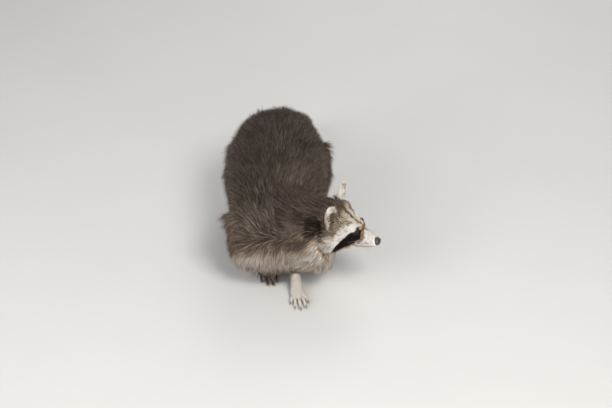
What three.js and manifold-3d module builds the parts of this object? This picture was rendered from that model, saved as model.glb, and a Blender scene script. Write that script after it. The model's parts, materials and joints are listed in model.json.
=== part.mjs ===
// A life-size raccoon that walks on four feet with its head turned far round to its left.
// Millimetres, +Z up. The chest faces -Y, so the animal's left side is +X, and the soles stand on Z = 0.
// Every size is taken at the tips of the coat, so that the solids give the furry outline.
import * as THREE from "three";
import { mergeVertices } from "three/addons/utils/BufferGeometryUtils.js";
import Module from "manifold-3d";

const wasm = await Module();
wasm.setup();

// ---- driving dimensions ----
const GAP = 0.35; // between neighbouring pieces
const SMOOTHING = 0.12; // facets flatter than this are joined
const UP = new THREE.Vector3(0, 0, 1);
const FRONT = new THREE.Vector3(0, -1, 0);

// The head is built with the tip of the nose close to its own origin and the face towards -Y.
const NOSE_TIP = new THREE.Vector3(224, -189, 135);
const HEAD_TURN = THREE.MathUtils.degToRad(72); // round to the animal's left
const HEAD_DIP = THREE.MathUtils.degToRad(11.5); // nose down
const EYE = { x: 21.8, y: 54.2, z: 16, radius: 6.5 };
const EAR = { x: 41, y: 110, z: 38, halfWidth: 24, halfDepth: 11, halfHeight: 40, wall: 3.5 };
const EAR_SPREAD = THREE.MathUtils.degToRad(17); // each ear leans outwards
const EAR_LEAN = THREE.MathUtils.degToRad(-6); // and a little back
const EAR_TURN = THREE.MathUtils.degToRad(3); // its opening faces forwards

// A station of a lofted body is [x, y, z, half width, size above, size below]. On a leg, whose path runs
// down, above is the front and below is the back.
const HEAD = [
  [0, 5, -5, 10, 7, 9],
  [0, 13, -6, 16, 9.5, 14],
  [0, 28, -7, 21, 14, 22],
  [0, 42, -6, 26, 20, 27.5],
  [0, 54, -3, 35, 32, 33],
  [0, 68, -5, 50, 46, 34],
  [0, 84, -8, 64, 59, 37],
  [0, 102, -9, 69, 65, 39],
  [0, 120, -9, 64, 68, 38],
  [0, 134, -10, 54, 62, 35],
];
// The ruff of long hair that stands out from each cheek, on the left; the right is its mirror image.
const CHEEK = [
  [30, 64, -10, 18, 22, 22],
  [52, 88, -16, 19, 25, 22],
  [70, 108, -21, 11, 15, 14],
];
const NECK = [
  [-5, -85, 150, 82, 74, 88],
  [32, -124, 150, 84, 72, 108],
  [70, -150, 148, 80, 70, 115],
  [104, -162, 150, 68, 64, 109],
];
const TRUNK = [
  [0, -182, 112, 88, 66, 78],
  [0, -160, 116, 98, 85, 80],
  [0, -118, 127, 108, 97, 81],
  [0, -68, 137, 114, 104, 83],
  [0, -15, 144, 118, 112, 83],
  [0, 40, 150, 121, 117, 85],
  [0, 95, 154, 121, 118, 84],
  [0, 140, 156, 111, 109, 78],
  [0, 178, 158, 90, 88, 66],
  [0, 206, 162, 62, 60, 50],
];
const TRUNK_CUTS = [-40, 75]; // where the chest, loin and rump are parted
const TAIL = [
  [0, 185, 188, 30, 30, 28],
  [2, 225, 168, 37, 36, 34],
  [8, 270, 137, 41, 40, 38],
  [18, 315, 105, 42, 41, 39],
  [30, 360, 79, 41, 40, 38],
  [42, 402, 62, 37, 36, 34],
  [50, 432, 55, 28, 27, 26],
];
const TAIL_CUTS = [285, 370];

// Legs, as [shoulder or hip ... elbow or knee] and [elbow or knee ... wrist or ankle].
const LEGS = {
  foreleg_left: {
    upper: [
      [64, -122, 150, 46, 54, 50],
      [68, -136, 110, 42, 48, 46],
      [62, -144, 80, 34, 38, 36],
    ],
    lower: [
      [58, -136, 90, 25, 27, 28],
      [50, -160, 68, 15.5, 17, 18],
      [43, -179, 49, 11.5, 13, 14],
    ],
    paw: { x: 46, y: -207, turn: 9 },
  },
  foreleg_right: {
    upper: [
      [-66, -116, 150, 48, 54, 50],
      [-70, -146, 106, 43, 47, 46],
      [-68, -162, 72, 33, 34, 34],
    ],
    lower: [
      [-56, -116, 90, 26, 27, 28],
      [-50, -108, 66, 16.5, 17, 18],
      [-44, -104, 47, 12, 13, 14],
    ],
    paw: { x: -30, y: -128, turn: 28 },
  },
  hindleg_left: {
    upper: [
      [68, 122, 168, 56, 70, 60],
      [84, 92, 130, 48, 64, 54],
      [88, 60, 98, 35, 42, 42],
    ],
    lower: [
      [85, 70, 104, 30, 34, 36],
      [80, 102, 70, 24, 25, 26],
      [76, 124, 40, 18, 18, 18],
    ],
    paw: { x: 77, y: 84, turn: 8 },
  },
  hindleg_right: {
    upper: [
      [-68, 114, 168, 56, 70, 60],
      [-84, 76, 130, 48, 64, 54],
      [-88, 38, 98, 35, 42, 42],
    ],
    lower: [
      [-85, 46, 104, 30, 34, 36],
      [-80, 76, 70, 24, 25, 26],
      [-76, 96, 40, 18, 18, 18],
    ],
    paw: { x: -77, y: 56, turn: -8 },
  },
};

// A paw points to -Y from its own origin. Its digits are [foot of the digit x, y, splay in degrees, length].
const FOREPAW = {
  palm: [
    [0, -17, 7, 13, 6, 8],
    [0, -3, 9, 16.5, 9, 10],
    [0, 12, 17, 13, 11, 13],
    [0, 25, 36, 10.5, 11, 11],
  ],
  digits: [
    [-11, -8, -20, 25],
    [-7.5, -16, -8, 33],
    [0, -18, 0, 36],
    [7.5, -16, 8, 33],
    [11, -8, 20, 25],
  ],
};
const HINDPAW = {
  palm: [
    [0, -36, 7, 15, 6, 8],
    [0, -18, 9, 18, 9, 10],
    [0, 8, 9.5, 15, 10, 10.5],
    [0, 34, 11, 13.5, 12, 12],
    [0, 44, 26, 13, 14, 14],
  ],
  digits: [
    [-13, -28, -22, 22],
    [-8.5, -36, -9, 28],
    [0, -38, 0, 30],
    [8.5, -36, 9, 28],
    [13, -28, 22, 22],
  ],
};
const DIGIT_RADIUS = 4.4;
const CLAW = { length: 9, radius: 1.7 };

// ---- materials ----
const finish = (color, roughness, metalness = 0) =>
  new THREE.MeshStandardMaterial({ color, roughness, metalness });
const greyCoat = finish(0x6d6258, 0.95);
const paleCoat = finish(0xcfc4b2, 0.95);
const darkCoat = finish(0x453b34, 0.95);
const noseSkin = finish(0x1c1b1e, 0.35);
const eyeGloss = finish(0x120c08, 0.05);

// ---- shapes ----
// A closed body carried along a smooth path through its stations, with a dome of the given length at each end.
function loft(stations, { sides = 12, steps = 1, domes = [10, 10], domeRings = 2, up = UP, grow = 0 } = {}) {
  const line = (a) =>
    new THREE.CatmullRomCurve3(stations.map((s) => new THREE.Vector3(s[a], s[a + 1], s[a + 2])));
  const centres = line(0);
  const sizes = line(3);
  const last = (stations.length - 1) * steps;
  const rings = [];
  const addRing = (t, share, ahead) => {
    const size = sizes.getPoint(t).addScalar(grow).multiplyScalar(share);
    const tangent = centres.getTangent(t);
    const side = new THREE.Vector3().crossVectors(tangent, up).normalize();
    const top = new THREE.Vector3().crossVectors(side, tangent);
    const centre = centres.getPoint(t).addScaledVector(tangent, ahead);
    rings.push({ centre, side, top, size });
  };
  const quarter = Math.PI / 2 / (domeRings + 1);
  for (let k = domeRings; k > 0; k--) {
    addRing(0, Math.cos(k * quarter), -(domes[0] + grow) * Math.sin(k * quarter));
  }
  for (let i = 0; i <= last; i++) addRing(i / last, 1, 0);
  for (let k = 1; k <= domeRings; k++) {
    addRing(1, Math.cos(k * quarter), (domes[1] + grow) * Math.sin(k * quarter));
  }
  const points = [];
  for (const { centre, side, top, size } of rings) {
    for (let j = 0; j < sides; j++) {
      const angle = (2 * Math.PI * j) / sides;
      const rise = Math.sin(angle) * (Math.sin(angle) > 0 ? size.y : size.z);
      const point = centre.clone().addScaledVector(side, Math.cos(angle) * size.x);
      points.push(...point.addScaledVector(top, rise));
    }
  }
  const pole = (t, ahead) => centres.getPoint(t).addScaledVector(centres.getTangent(t), ahead);
  points.push(...pole(0, -(domes[0] + grow)), ...pole(1, domes[1] + grow));
  const faces = [];
  const poles = rings.length * sides;
  const end = poles - sides;
  for (let j = 0; j < sides; j++) {
    const next = (j + 1) % sides;
    for (let i = 0; i < rings.length - 1; i++) {
      const [a, b] = [i * sides + j, i * sides + next];
      faces.push(a, a + sides, b + sides, a, b + sides, b);
    }
    faces.push(poles, j, next, poles + 1, end + next, end + j);
  }
  const made = new THREE.BufferGeometry();
  made.setAttribute("position", new THREE.Float32BufferAttribute(points, 3));
  made.setIndex(faces);
  return made;
}

// An egg of the given half sizes.
function egg(x, y, z, columns = 9, rows = 6) {
  return new THREE.SphereGeometry(1, columns, rows).scale(x, y, z);
}

// ---- solids, joined and cut ----
function solid(geometry, matrix = new THREE.Matrix4()) {
  const bare = new THREE.BufferGeometry();
  bare.setAttribute("position", geometry.getAttribute("position").clone());
  bare.setIndex(geometry.index);
  const merged = mergeVertices(bare.applyMatrix4(matrix), 1e-4);
  const vertProperties = merged.attributes.position.array;
  const triVerts = new Uint32Array(merged.index.array);
  return new wasm.Manifold(new wasm.Mesh({ numProp: 3, vertProperties, triVerts }));
}

function geometryOf(manifold, matrix) {
  const { vertProperties, triVerts } = manifold.getMesh();
  const made = new THREE.BufferGeometry();
  made.setAttribute("position", new THREE.BufferAttribute(vertProperties, 3));
  made.setIndex(new THREE.BufferAttribute(triVerts, 1));
  made.applyMatrix4(matrix).computeVertexNormals();
  return made;
}

const largest = (manifold) =>
  manifold.decompose().reduce((best, one) => (one.volume() > best.volume() ? one : best));

const FLOOR_BLOCK = 2000;
const belowFloor = solid(
  new THREE.BoxGeometry(FLOOR_BLOCK, FLOOR_BLOCK, FLOOR_BLOCK).translate(0, 0, -FLOOR_BLOCK / 2),
);

// Adds a named piece to its group. build(grow) gives its solid in the group's frame, and each piece gives way
// to all that were added before it, by the gap.
const placed = [];
function addPiece(group, name, material, build) {
  group.updateWorldMatrix(true, false);
  const world = group.matrixWorld;
  let shape = build(0, world);
  for (const earlier of placed) shape = shape.subtract(earlier);
  placed.push(build(GAP, world));
  const mesh = new THREE.Mesh(geometryOf(largest(shape).simplify(SMOOTHING), world.clone().invert()), material);
  mesh.name = name;
  group.add(mesh);
}

// ---- the animal ----
const raccoon = new THREE.Group();
const animal = new THREE.Group();
raccoon.add(animal);

function addPaw(name, { digits, palm }, place, coat) {
  const paw = new THREE.Group();
  paw.position.set(place.x, place.y, 0);
  paw.rotation.z = THREE.MathUtils.degToRad(place.turn);
  animal.add(paw);
  const digitShape = ([x, y, splay, length], grow, world) => {
    const angle = THREE.MathUtils.degToRad(splay);
    const [dx, dy] = [Math.sin(angle), -Math.cos(angle)];
    const at = (along, height, radius) => [x + dx * along, y + dy * along, height, radius, radius, radius];
    const stations = [
      at(0, 7.5, DIGIT_RADIUS + 0.6),
      at(length * 0.45, 9, DIGIT_RADIUS),
      at(length * 0.93, 3.9, DIGIT_RADIUS - 0.2),
    ];
    return solid(loft(stations, { sides: 6, domes: [2, 2.6], domeRings: 0, grow }), world);
  };
  const clawShape = ([x, y, splay, length], grow, world) => {
    const angle = THREE.MathUtils.degToRad(splay);
    const [dx, dy] = [Math.sin(angle), -Math.cos(angle)];
    const at = (along, height, share) => {
      const radius = CLAW.radius * share;
      return [x + dx * (length + along), y + dy * (length + along), height, radius * 0.75, radius, radius];
    };
    const stations = [
      at(-1.5, 5.2, 1),
      at(CLAW.length * 0.6, 3.8, 0.65),
    ];
    return solid(loft(stations, { sides: 4, domes: [0.6, 1.4], domeRings: 0, grow }), world);
  };
  addPiece(paw, `paw_${name}`, coat, (grow, world) => {
    let hand = solid(loft(palm, { sides: 9, domes: [6, 8], domeRings: 1, grow }), world);
    for (const digit of digits) {
      hand = hand.add(digitShape(digit, grow, world)).add(clawShape(digit, grow, world));
    }
    return hand.subtract(belowFloor);
  });
}

function addHead() {
  const head = new THREE.Group();
  head.position.copy(NOSE_TIP);
  head.rotation.set(HEAD_DIP, 0, HEAD_TURN, "ZYX");
  animal.add(head);
  const sides = [["left", 1], ["right", -1]];
  const skull = (grow, world) => {
    let made = solid(loft(HEAD, { sides: 18, domes: [3, 12], grow }), world);
    for (const [, sign] of sides) {
      const cheek = CHEEK.map(([x, ...rest]) => [sign * x, ...rest]);
      made = made.add(solid(loft(cheek, { sides: 8, domes: [6, 9], domeRings: 1, grow }), world));
    }
    return made;
  };

  addPiece(head, "nose", noseSkin, (grow, world) =>
    solid(egg(11 + grow, 9 + grow, 8.5 + grow).translate(0, 7, -5), world),
  );
  for (const [side, sign] of sides) {
    const radius = EYE.radius;
    addPiece(head, `eye_${side}`, eyeGloss, (grow, world) =>
      solid(egg(radius + grow, radius + grow, radius + grow).translate(sign * EYE.x, EYE.y, EYE.z), world),
    );
  }
  // The lower jaw is what lies under the line of the lips, back to the corner of the mouth.
  addPiece(head, "jaw", paleCoat, (grow, world) => {
    const [length, height, lips, slope] = [60, 60, -12, THREE.MathUtils.degToRad(-9)];
    const block = new THREE.BoxGeometry(120 + grow, length + 2 * grow, height + 2 * grow);
    block.translate(0, length / 2 - 6, -height / 2).rotateX(slope).translate(0, 0, lips);
    return skull(grow, world).intersect(solid(block, world));
  });
  addPiece(head, "head", greyCoat, skull);
  for (const [side, sign] of sides) {
    addPiece(head, `ear_${side}`, paleCoat, (grow, world) => {
      const place = new THREE.Group();
      place.position.set(sign * EAR.x, EAR.y, EAR.z);
      place.rotation.set(EAR_LEAN, sign * EAR_SPREAD, sign * EAR_TURN, "ZYX");
      place.updateMatrix();
      const at = world.clone().multiply(place.matrix);
      const { halfWidth, halfDepth, halfHeight, wall } = EAR;
      const shell = solid(egg(halfWidth + grow, halfDepth + grow, halfHeight + grow, 12, 9), at);
      const hollow = egg(halfWidth - wall, halfDepth, halfHeight - wall, 10, 8).translate(0, -wall - 2, 0);
      return shell.subtract(solid(hollow, at));
    });
  }
}

addHead();
for (const [name, leg] of Object.entries(LEGS)) {
  const hind = name.startsWith("hind");
  addPaw(name, hind ? HINDPAW : FOREPAW, leg.paw, paleCoat);
  const [upperName, lowerName] = hind ? ["thigh", "shank"] : ["upper_arm", "forearm"];
  const side = name.split("_")[1];
  const along = { sides: 10, up: FRONT };
  addPiece(animal, `${upperName}_${side}`, greyCoat, (grow) =>
    solid(loft(leg.upper, { ...along, domes: [24, 20], grow })),
  );
  addPiece(animal, `${lowerName}_${side}`, hind ? darkCoat : greyCoat, (grow) =>
    solid(loft(leg.lower, { ...along, domes: [6, 4], grow })),
  );
}

addPiece(animal, "neck", greyCoat, (grow) => solid(loft(NECK, { sides: 12, domes: [20, 34], grow })));

// A long body parted by square cuts across Y, each piece as wide as the gap from the next.
function addLengths(names, cuts, material, build) {
  const bounds = [-FLOOR_BLOCK, ...cuts, FLOOR_BLOCK];
  names.forEach((name, i) => {
    addPiece(animal, name, material, (grow) => {
      const [from, to] = [bounds[i] - grow, bounds[i + 1] + grow];
      const slab = new THREE.BoxGeometry(FLOOR_BLOCK, to - from, FLOOR_BLOCK).translate(0, (from + to) / 2, 0);
      return build(grow).intersect(solid(slab));
    });
  });
}
addLengths(["tail_base", "tail_middle", "tail_tip"], TAIL_CUTS, darkCoat, (grow) =>
  solid(loft(TAIL, { sides: 11, domes: [12, 18], grow })),
);
addLengths(["chest", "loin", "rump"], TRUNK_CUTS, greyCoat, (grow) =>
  solid(loft(TRUNK, { sides: 16, domes: [36, 16], grow })),
);

// The origin is the middle of the animal's plan, on the floor.
const box = new THREE.Box3().setFromObject(animal, true);
const middle = box.getCenter(new THREE.Vector3());
animal.position.set(-middle.x, -middle.y, 0);
raccoon.updateMatrixWorld(true);

export default raccoon;
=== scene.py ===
# %% [markdown]
# # A raccoon in its winter coat
#
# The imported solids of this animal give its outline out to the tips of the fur. This lesson puts the real
# surface inside them: one skin over head, trunk, legs and tail, a coat of many thin tufts that lies along
# the body, and the bare or glossy parts on their own: eyes, lids, nose, claws and whiskers.

# %% Load the fixed frame
import json
import bpy
import numpy as np
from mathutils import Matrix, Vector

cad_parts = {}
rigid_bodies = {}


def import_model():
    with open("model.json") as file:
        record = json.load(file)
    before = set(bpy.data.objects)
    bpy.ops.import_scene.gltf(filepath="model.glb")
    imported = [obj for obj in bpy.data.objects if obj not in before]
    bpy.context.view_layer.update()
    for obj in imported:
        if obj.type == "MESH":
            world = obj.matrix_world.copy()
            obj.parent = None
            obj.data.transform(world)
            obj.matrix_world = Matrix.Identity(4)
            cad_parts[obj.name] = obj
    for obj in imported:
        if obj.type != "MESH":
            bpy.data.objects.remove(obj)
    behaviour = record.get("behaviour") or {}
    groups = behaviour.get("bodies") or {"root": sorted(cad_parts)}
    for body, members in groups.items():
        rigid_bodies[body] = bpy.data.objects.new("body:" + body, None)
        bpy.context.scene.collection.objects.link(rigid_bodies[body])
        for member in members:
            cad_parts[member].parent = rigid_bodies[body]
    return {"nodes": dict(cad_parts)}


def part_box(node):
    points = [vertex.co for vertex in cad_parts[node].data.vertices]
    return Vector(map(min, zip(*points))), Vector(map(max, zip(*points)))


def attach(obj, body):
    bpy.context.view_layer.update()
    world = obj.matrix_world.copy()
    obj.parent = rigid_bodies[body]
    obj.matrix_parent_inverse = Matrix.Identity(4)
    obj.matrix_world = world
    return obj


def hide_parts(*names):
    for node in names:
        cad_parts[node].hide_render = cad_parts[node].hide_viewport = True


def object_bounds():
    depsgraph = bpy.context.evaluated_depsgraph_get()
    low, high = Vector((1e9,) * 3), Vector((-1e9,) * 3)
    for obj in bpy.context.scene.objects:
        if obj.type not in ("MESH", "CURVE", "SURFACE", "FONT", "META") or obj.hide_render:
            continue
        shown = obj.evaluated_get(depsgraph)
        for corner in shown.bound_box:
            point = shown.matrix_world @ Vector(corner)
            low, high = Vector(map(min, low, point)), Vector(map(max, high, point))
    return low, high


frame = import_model()
cad_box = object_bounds()
MM = 0.001
rng = np.random.default_rng(11)
print("nodes in the frame:", len(frame["nodes"]))

# %% [markdown]
# ## Small tools for arrays
#
# Everything below is worked out for whole arrays of points at once. Five helpers are used all the time: a
# unit vector, a soft step from 0 to 1 between two limits, the angles of one turn, a rotation, and a ripple,
# which is a cheap smooth noise. The ripple adds sine waves that run in random directions, so it needs no
# table and looks the same on every run.


# %% Unit vectors, soft steps, ripples and turns
def unit(v):
    """v divided by its own length."""
    return v / np.maximum(np.linalg.norm(v, axis=-1, keepdims=True), 1e-9)


def step(low, high, x):
    """0 below low and 1 above high, with the cubic 3t^2 - 2t^3 between; low may be the larger limit."""
    t = np.clip((x - low) / (high - low), 0, 1)
    return t * t * (3 - 2 * t)


def ripple(p, size, seed, waves=7):
    """Sum of sines of the points p, each with its own random direction and phase and about size mm long."""
    r = np.random.default_rng(seed)
    directions = unit(r.normal(size=(waves, 3))) * (2 * np.pi / size) * r.uniform(0.7, 1.4, (waves, 1))
    return np.sin(p @ directions.T + r.uniform(0, 6.3, waves)).sum(1) / np.sqrt(waves / 2)


def turns(around):
    """Equal angles round one full turn."""
    return np.linspace(0, 2 * np.pi, around, endpoint=False)


def rotation(axis, angle):
    """The matrix that turns by an angle about X, Y or Z, which are axis 0, 1 and 2."""
    j, k = (axis + 1) % 3, (axis + 2) % 3
    turn = np.eye(3)
    turn[[j, k], [j, k]] = np.cos(angle)
    turn[k, j], turn[j, k] = np.sin(angle), -np.sin(angle)
    return turn


# %% [markdown]
# ## Where the head is
#
# The animal is easiest to describe in its own frame: millimetres, the chest towards -Y and the middle of
# the trunk on X = 0. The head has a frame of its own too, with the tip of the nose at the origin and the
# face towards -Y; it is dipped and turned far round to the left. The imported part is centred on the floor,
# so the shift between the two frames is read from a node whose place is known in both: the left eye.

# %% The animal's frame and the head's frame
NOSE_TIP = np.array([224.0, -189.0, 135.0])
HEAD_TURN, HEAD_DIP = np.radians(72), np.radians(11.5)
EYE = np.array([21.8, 54.2, 16.0])
HEAD_AXES = rotation(2, HEAD_TURN) @ rotation(0, HEAD_DIP)


def from_head(p):
    """Points of the head's frame in the animal's frame."""
    return np.asarray(p, float) @ HEAD_AXES.T + NOSE_TIP


def to_head(p):
    """Points of the animal's frame in the head's frame."""
    return (p - NOSE_TIP) @ HEAD_AXES


SHIFT = np.mean([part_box("eye_left")[0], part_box("eye_left")[1]], axis=0) / MM - from_head(EYE)
print("shift of the animal's frame, mm:", SHIFT.round(1))

# %% [markdown]
# ## Paths with a size
#
# Most of an animal is round in section and long one way, so each length of the body is a path with a size:
# at every station its centre, half width, size above, size below and the depth of the coat. A smooth curve
# is carried through the stations. The flesh is that body less the coat, and the same path later tells each
# hair where it sits on the body and which way it grows.


# %% Curve through stations, and its moving frame
def curve(stations, samples):
    """A smooth curve through all rows at once: on each span the cubic whose slope at a station is half the
    difference of the stations on either side."""
    p = np.asarray(stations, float)
    p = np.vstack([2 * p[0] - p[1], p, 2 * p[-1] - p[-2]])
    t = np.linspace(0, len(stations) - 1, samples)
    i = np.minimum(t.astype(int), len(stations) - 2)
    f = (t - i)[:, None]
    a, b, c, d = p[i], p[i + 1], p[i + 2], p[i + 3]
    return 0.5 * (2 * b + (c - a) * f + (2 * a - 5 * b + 4 * c - d) * f**2 + (3 * b - 3 * c + d - a) * f**3)


UP, FRONT = (0.0, 0.0, 1.0), (0.0, -1.0, 0.0)


def body_path(stations, up=UP, samples=64):
    """Centres, sizes and coat depth along a body, with the direction ahead, to the side and to the top."""
    rows = curve(stations, samples)
    ahead = unit(np.gradient(rows[:, :3], axis=0))
    side = unit(np.cross(ahead, up))
    return {
        "centre": rows[:, :3], "half": rows[:, 3:6], "coat": rows[:, 6],
        "ahead": ahead, "side": side, "top": np.cross(side, ahead),
    }


# %% [markdown]
# ## The stations of this raccoon
#
# The sizes are those of the coat's outline, in millimetres, and the last number of each station is how deep
# the coat lies on the flesh there. A winter coat is nearly 3 cm deep on the trunk, 1 cm on the cheeks and
# under 1 mm on the nose and toes. That is why a raccoon looks so round, although its legs and flanks are
# slender.

# %% Stations: x, y, z, half width, above, below, coat
HEAD = [
    [0, 5, -5, 10, 7, 9, 0.6], [0, 13, -6, 16, 9.5, 14, 0.9], [0, 28, -7, 21, 14, 22, 1.2],
    [0, 42, -6, 26, 20, 27.5, 1.5], [0, 54, -3, 35, 32, 33, 1.8], [0, 68, -5, 50, 46, 34, 3.0],
    [0, 84, -8, 64, 59, 37, 4.8], [0, 102, -9, 69, 65, 39, 8.0], [0, 120, -9, 64, 68, 38, 12.0],
    [0, 134, -10, 54, 62, 35, 14.0],
]
NECK = [
    [-5, -85, 150, 82, 74, 88, 26], [32, -124, 150, 84, 72, 108, 26],
    [70, -150, 148, 80, 70, 115, 23], [104, -162, 150, 68, 64, 109, 17],
]
TRUNK = [
    [0, -182, 112, 88, 66, 78, 27], [0, -160, 116, 98, 85, 80, 27], [0, -118, 127, 108, 97, 81, 27],
    [0, -68, 137, 114, 104, 83, 27], [0, -15, 144, 118, 112, 83, 27], [0, 40, 150, 121, 117, 85, 28],
    [0, 95, 154, 121, 118, 84, 29], [0, 140, 156, 111, 109, 78, 28], [0, 178, 158, 90, 88, 66, 26],
    [0, 206, 162, 62, 60, 50, 24],
]
TAIL = [
    [0, 185, 188, 30, 30, 28, 14], [2, 225, 168, 37, 36, 34, 20], [8, 270, 137, 41, 40, 38, 24],
    [18, 315, 105, 42, 41, 39, 26], [30, 360, 79, 41, 40, 38, 27], [42, 402, 62, 37, 36, 34, 26],
    [50, 432, 55, 28, 27, 26, 22],
]


def hind_leg(side, thigh, shin, sole):
    """Upper and lower stations and the paw's place: side is 1 left and -1 right, the other values are Y."""
    return (
        [[68 * side, thigh[0], 168, 56, 70, 60, 26], [84 * side, thigh[1], 130, 48, 64, 54, 23],
         [88 * side, thigh[2], 98, 35, 42, 42, 16]],
        [[85 * side, shin[0], 104, 30, 34, 36, 10], [80 * side, shin[1], 70, 24, 25, 26, 7],
         [76 * side, shin[2], 40, 18, 18, 18, 4]],
        (77 * side, sole, 8 * side),
    )


# A leg is its upper stations, its lower stations, and the paw's x, y and turn in degrees.
LEGS = {
    "foreleg_left": (
        [[64, -122, 150, 46, 54, 50, 24], [68, -136, 110, 42, 48, 46, 20], [62, -144, 80, 34, 38, 36, 15]],
        [[58, -136, 90, 25, 27, 28, 8], [50, -160, 68, 15.5, 17, 18, 4], [43, -179, 49, 11.5, 13, 14, 1.8]],
        (46, -207, 9),
    ),
    "foreleg_right": (
        [[-66, -116, 150, 48, 54, 50, 24], [-70, -146, 106, 43, 47, 46, 21], [-68, -162, 72, 33, 34, 34, 16]],
        [[-56, -116, 90, 26, 27, 28, 8], [-50, -108, 66, 16.5, 17, 18, 4], [-44, -104, 47, 12, 13, 14, 1.8]],
        (-30, -128, 28),
    ),
    "hindleg_left": hind_leg(1, (122, 92, 60), (70, 102, 124), 84),
    "hindleg_right": hind_leg(-1, (114, 76, 38), (46, 76, 96), 56),
}
PAW_COAT = 0.8
FOREPALM = [
    [0, -17, 7, 13, 6, 8], [0, -3, 9, 16.5, 9, 10], [0, 12, 17, 13, 11, 13], [0, 25, 36, 10.5, 11, 11],
]
HINDPALM = [
    [0, -36, 7, 15, 6, 8], [0, -18, 9, 18, 9, 10], [0, 8, 9.5, 15, 10, 10.5], [0, 34, 11, 13.5, 12, 12],
    [0, 44, 26, 13, 14, 14],
]
# A digit is its foot x, y on the palm, its splay in degrees and its length.
FOREDIGITS = [(-11, -8, -20, 25), (-7.5, -16, -8, 33), (0, -18, 0, 36), (7.5, -16, 8, 33), (11, -8, 20, 25)]
HINDDIGITS = [(-13, -28, -22, 22), (-8.5, -36, -9, 28), (0, -38, 0, 30), (8.5, -36, 9, 28), (13, -28, 22, 22)]


# %% [markdown]
# ## Paws
#
# A raccoon's forepaw is almost a hand: five long slender fingers that spread from a narrow palm. Each digit
# is a short path that rises to its knuckle and comes down on the pad of its tip, and the whole paw is then
# turned and set down on the floor.


# %% Paths of a paw and of its digits
def paw_frame(place):
    """The turn about Z and the place on the floor that put a paw's own frame into the animal's frame."""
    x, y, turn = place
    return rotation(2, np.radians(turn)), np.array([x, y, 0.0])


def placed(rows, place):
    """Rows of stations with their centres moved from the paw's frame to the animal's."""
    turn, origin = paw_frame(place)
    rows = np.array(rows, float)
    rows[:, :3] = rows[:, :3] @ turn.T + origin
    return rows


def digit_rows(digit):
    """Stations along one digit, given as a share of its length, the height and the radius."""
    x, y, splay, length = digit
    dx, dy = np.sin(np.radians(splay)), -np.cos(np.radians(splay))
    profile = [(0, 7.5, 4.9), (0.24, 8.8, 3.9), (0.45, 8.6, 4.2), (0.7, 6.2, 3.4), (0.93, 4.0, 4.0)]
    return [[x + dx * length * a, y + dy * length * a, h, r, r, r, PAW_COAT] for a, h, r in profile]


PARTS = {
    "head": dict(path=body_path(HEAD), domes=(3, 12)),
    "neck": dict(path=body_path(NECK), domes=(20, 34)),
    "trunk": dict(path=body_path(TRUNK), domes=(36, 16)),
    "tail": dict(path=body_path(TAIL), domes=(12, 18)),
}
head_path = PARTS["head"]["path"]
head_path["centre"] = from_head(head_path["centre"])
for axis in ("ahead", "side", "top"):
    head_path[axis] = head_path[axis] @ HEAD_AXES.T
DIGITS = {}
for leg, (upper, lower, place) in LEGS.items():
    hind = leg.startswith("hind")
    PARTS["upper_" + leg] = dict(path=body_path(upper, FRONT, 32), domes=(24, 20))
    PARTS["lower_" + leg] = dict(path=body_path(lower, FRONT, 32), domes=(6, 4))
    palm = [row + [PAW_COAT] for row in (HINDPALM if hind else FOREPALM)]
    PARTS["paw_" + leg] = dict(path=body_path(placed(palm, place), UP, 32), domes=(6, 8))
    for k, digit in enumerate(HINDDIGITS if hind else FOREDIGITS):
        path = body_path(placed(digit_rows(digit), place), UP, 20)
        DIGITS[f"{leg}_{k + 1}"] = dict(path=path, domes=(2, 2.6))
print("lengths of the body:", len(PARTS), "and digits:", len(DIGITS))


# %% [markdown]
# ## Closed bodies from rings
#
# A ring of points goes round each centre of a path, and at both ends the rings shrink to a pole as a
# quarter ellipse. Any shape made of rings between two poles is put into a mesh by the same function, so it
# is always closed and its faces point outwards.


# %% Rings, poles and meshes
def ring_faces(rings, around):
    """Quads between neighbouring rings, and triangles to a first and a last pole that follow the rings."""
    grid = np.arange(rings * around).reshape(rings, around)
    nxt = np.roll(grid, -1, 1)
    quads = np.stack([grid[:-1], grid[1:], nxt[1:], nxt[:-1]], -1).reshape(-1, 4)
    first, last = np.full(around, rings * around), np.full(around, rings * around + 1)
    caps = np.vstack([np.stack([first, grid[0], nxt[0]], 1), np.stack([last, nxt[-1], grid[-1]], 1)])
    return quads, caps


def flesh_of(part, around=40, dome_rings=7):
    """The closed flesh: centre + side * w cos(a) + top * h sin(a), w and h less the coat's depth."""
    p, (front, back) = part["path"], part["domes"]
    bend = np.linspace(0, np.pi / 2, dome_rings + 2)[1:-1]
    take = np.concatenate([np.zeros(dome_rings, int), np.arange(len(p["centre"])), np.full(dome_rings, -1)])
    share = np.concatenate([np.cos(bend[::-1]), np.ones(len(p["centre"])), np.cos(bend)])
    front, back = max(front - p["coat"][0], 0.6), max(back - p["coat"][-1], 1.0)
    along = np.concatenate([-front * np.sin(bend[::-1]), np.zeros(len(p["centre"])), back * np.sin(bend)])
    size = (p["half"][take] - p["coat"][take, None]) * share[:, None]
    centre = p["centre"][take] + p["ahead"][take] * along[:, None]
    angle = turns(around)
    up, down = np.maximum(np.sin(angle), 0), np.minimum(np.sin(angle), 0)
    rise = size[:, 1:2] * up + size[:, 2:3] * down
    rings = (
        centre[:, None]
        + p["side"][take][:, None] * (size[:, :1] * np.cos(angle))[..., None]
        + p["top"][take][:, None] * rise[..., None]
    )
    poles = [p["centre"][0] - p["ahead"][0] * front, p["centre"][-1] + p["ahead"][-1] * back]
    return np.vstack([rings.reshape(-1, 3), poles]), *ring_faces(len(take), around)


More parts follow.
